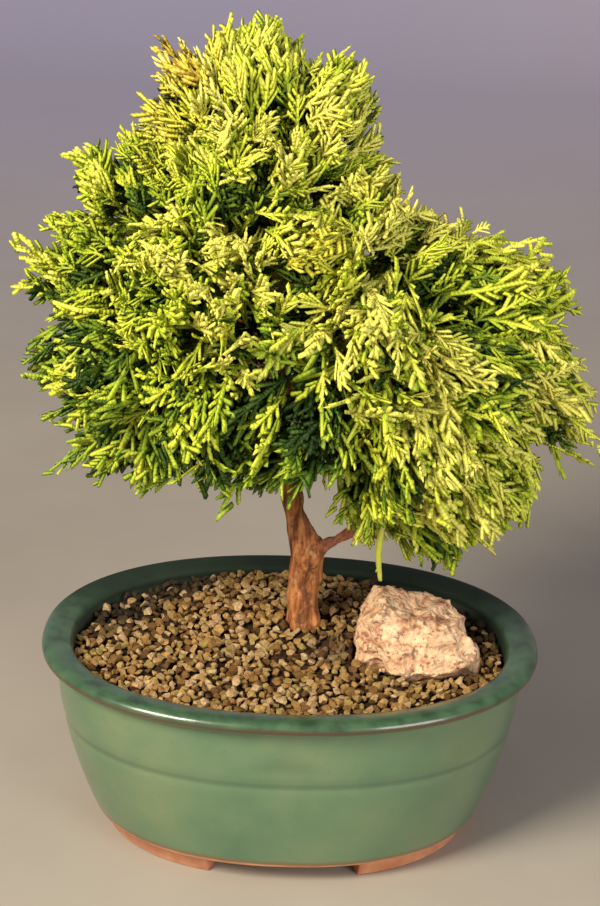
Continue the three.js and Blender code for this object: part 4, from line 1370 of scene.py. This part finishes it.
studio = {
    "width": 6.0,
    "front": 2.0,
    "back": 1.3,  # behind the pot's middle, where the sweep starts to rise
    "bend": 0.9,
    "bendSteps": 16,
    "rise": 2.6,
    "ground": ((0.3, (0.28, 0.25, 0.21)), (0.7, (0.33, 0.30, 0.25))),
    "wallLeft": (0.50, 0.47, 0.61),
    "wallRight": (0.66, 0.58, 0.60),
    "aim": (0.0, 0.0, 0.17),  # of both lamps, from the middle of the pot's underside
    "key": {"place": (-0.75, -0.75, 0.95), "size": 0.5, "power": 34.0, "colour": (1.0, 0.90, 0.74)},
    "fill": {"place": (0.95, -1.15, 0.50), "size": 0.7, "power": 17.0, "colour": (1.0, 0.97, 0.92)},
    "sky": (0.78, 0.76, 0.85),
    "skyStrength": 0.36,
}


def makeFloor():
    outline = [(-studio["front"], 0.0), (studio["back"], 0.0)]
    for i in range(1, studio["bendSteps"] + 1):
        angle = math.pi / 2 * i / studio["bendSteps"]
        outline.append((studio["back"] + studio["bend"] * math.sin(angle),
                        studio["bend"] * (1 - math.cos(angle))))
    outline.append((outline[-1][0], studio["rise"]))
    half = studio["width"] / 2
    points = [(x, y, z) for y, z in outline for x in (-half, half)]
    faces = [(2 * i, 2 * i + 1, 2 * i + 3, 2 * i + 2) for i in range(len(outline) - 1)]
    floor = newPiece("floor", newMesh("floor", points, faces))
    setSmooth(floor)
    material, tree, shader, place = newMaterial("paleSweep", Roughness=0.7)
    apart = splitVector(tree, place)
    colour = ramp(tree, noiseAt(tree, place, 6.0, 4.0), *studio["ground"])
    wall = mixColour(tree, fade(tree, apart["X"], -0.2, 1.0), studio["wallLeft"], studio["wallRight"])
    colour = mixColour(tree, fade(tree, apart["Y"], 0.3, 1.7), colour, wall)
    tree.links.new(colour, shader.inputs["Base Color"])
    paint(floor.data, material)


def addLight(name, place, size, power, colour):
    light = bpy.data.lights.new(name, "AREA")
    light.size = size
    light.energy = power
    light.color = colour
    lamp = bpy.data.objects.new(name, light)
    aim = potFoot + Vector(studio["aim"])
    lamp.location = potFoot + Vector(place)
    lamp.rotation_euler = (aim - lamp.location).to_track_quat("-Z", "Y").to_euler()
    bpy.context.scene.collection.objects.link(lamp)


makeFloor()
addLight("key", **studio["key"])
addLight("fill", **studio["fill"])
world = bpy.data.worlds.new("sky")
world.use_nodes = True
world.node_tree.nodes["Background"].inputs["Color"].default_value = (*studio["sky"], 1.0)
world.node_tree.nodes["Background"].inputs["Strength"].default_value = studio["skyStrength"]
bpy.context.scene.world = world
bpy.context.scene.view_settings.view_transform = "Standard"
print("floor and lights placed")
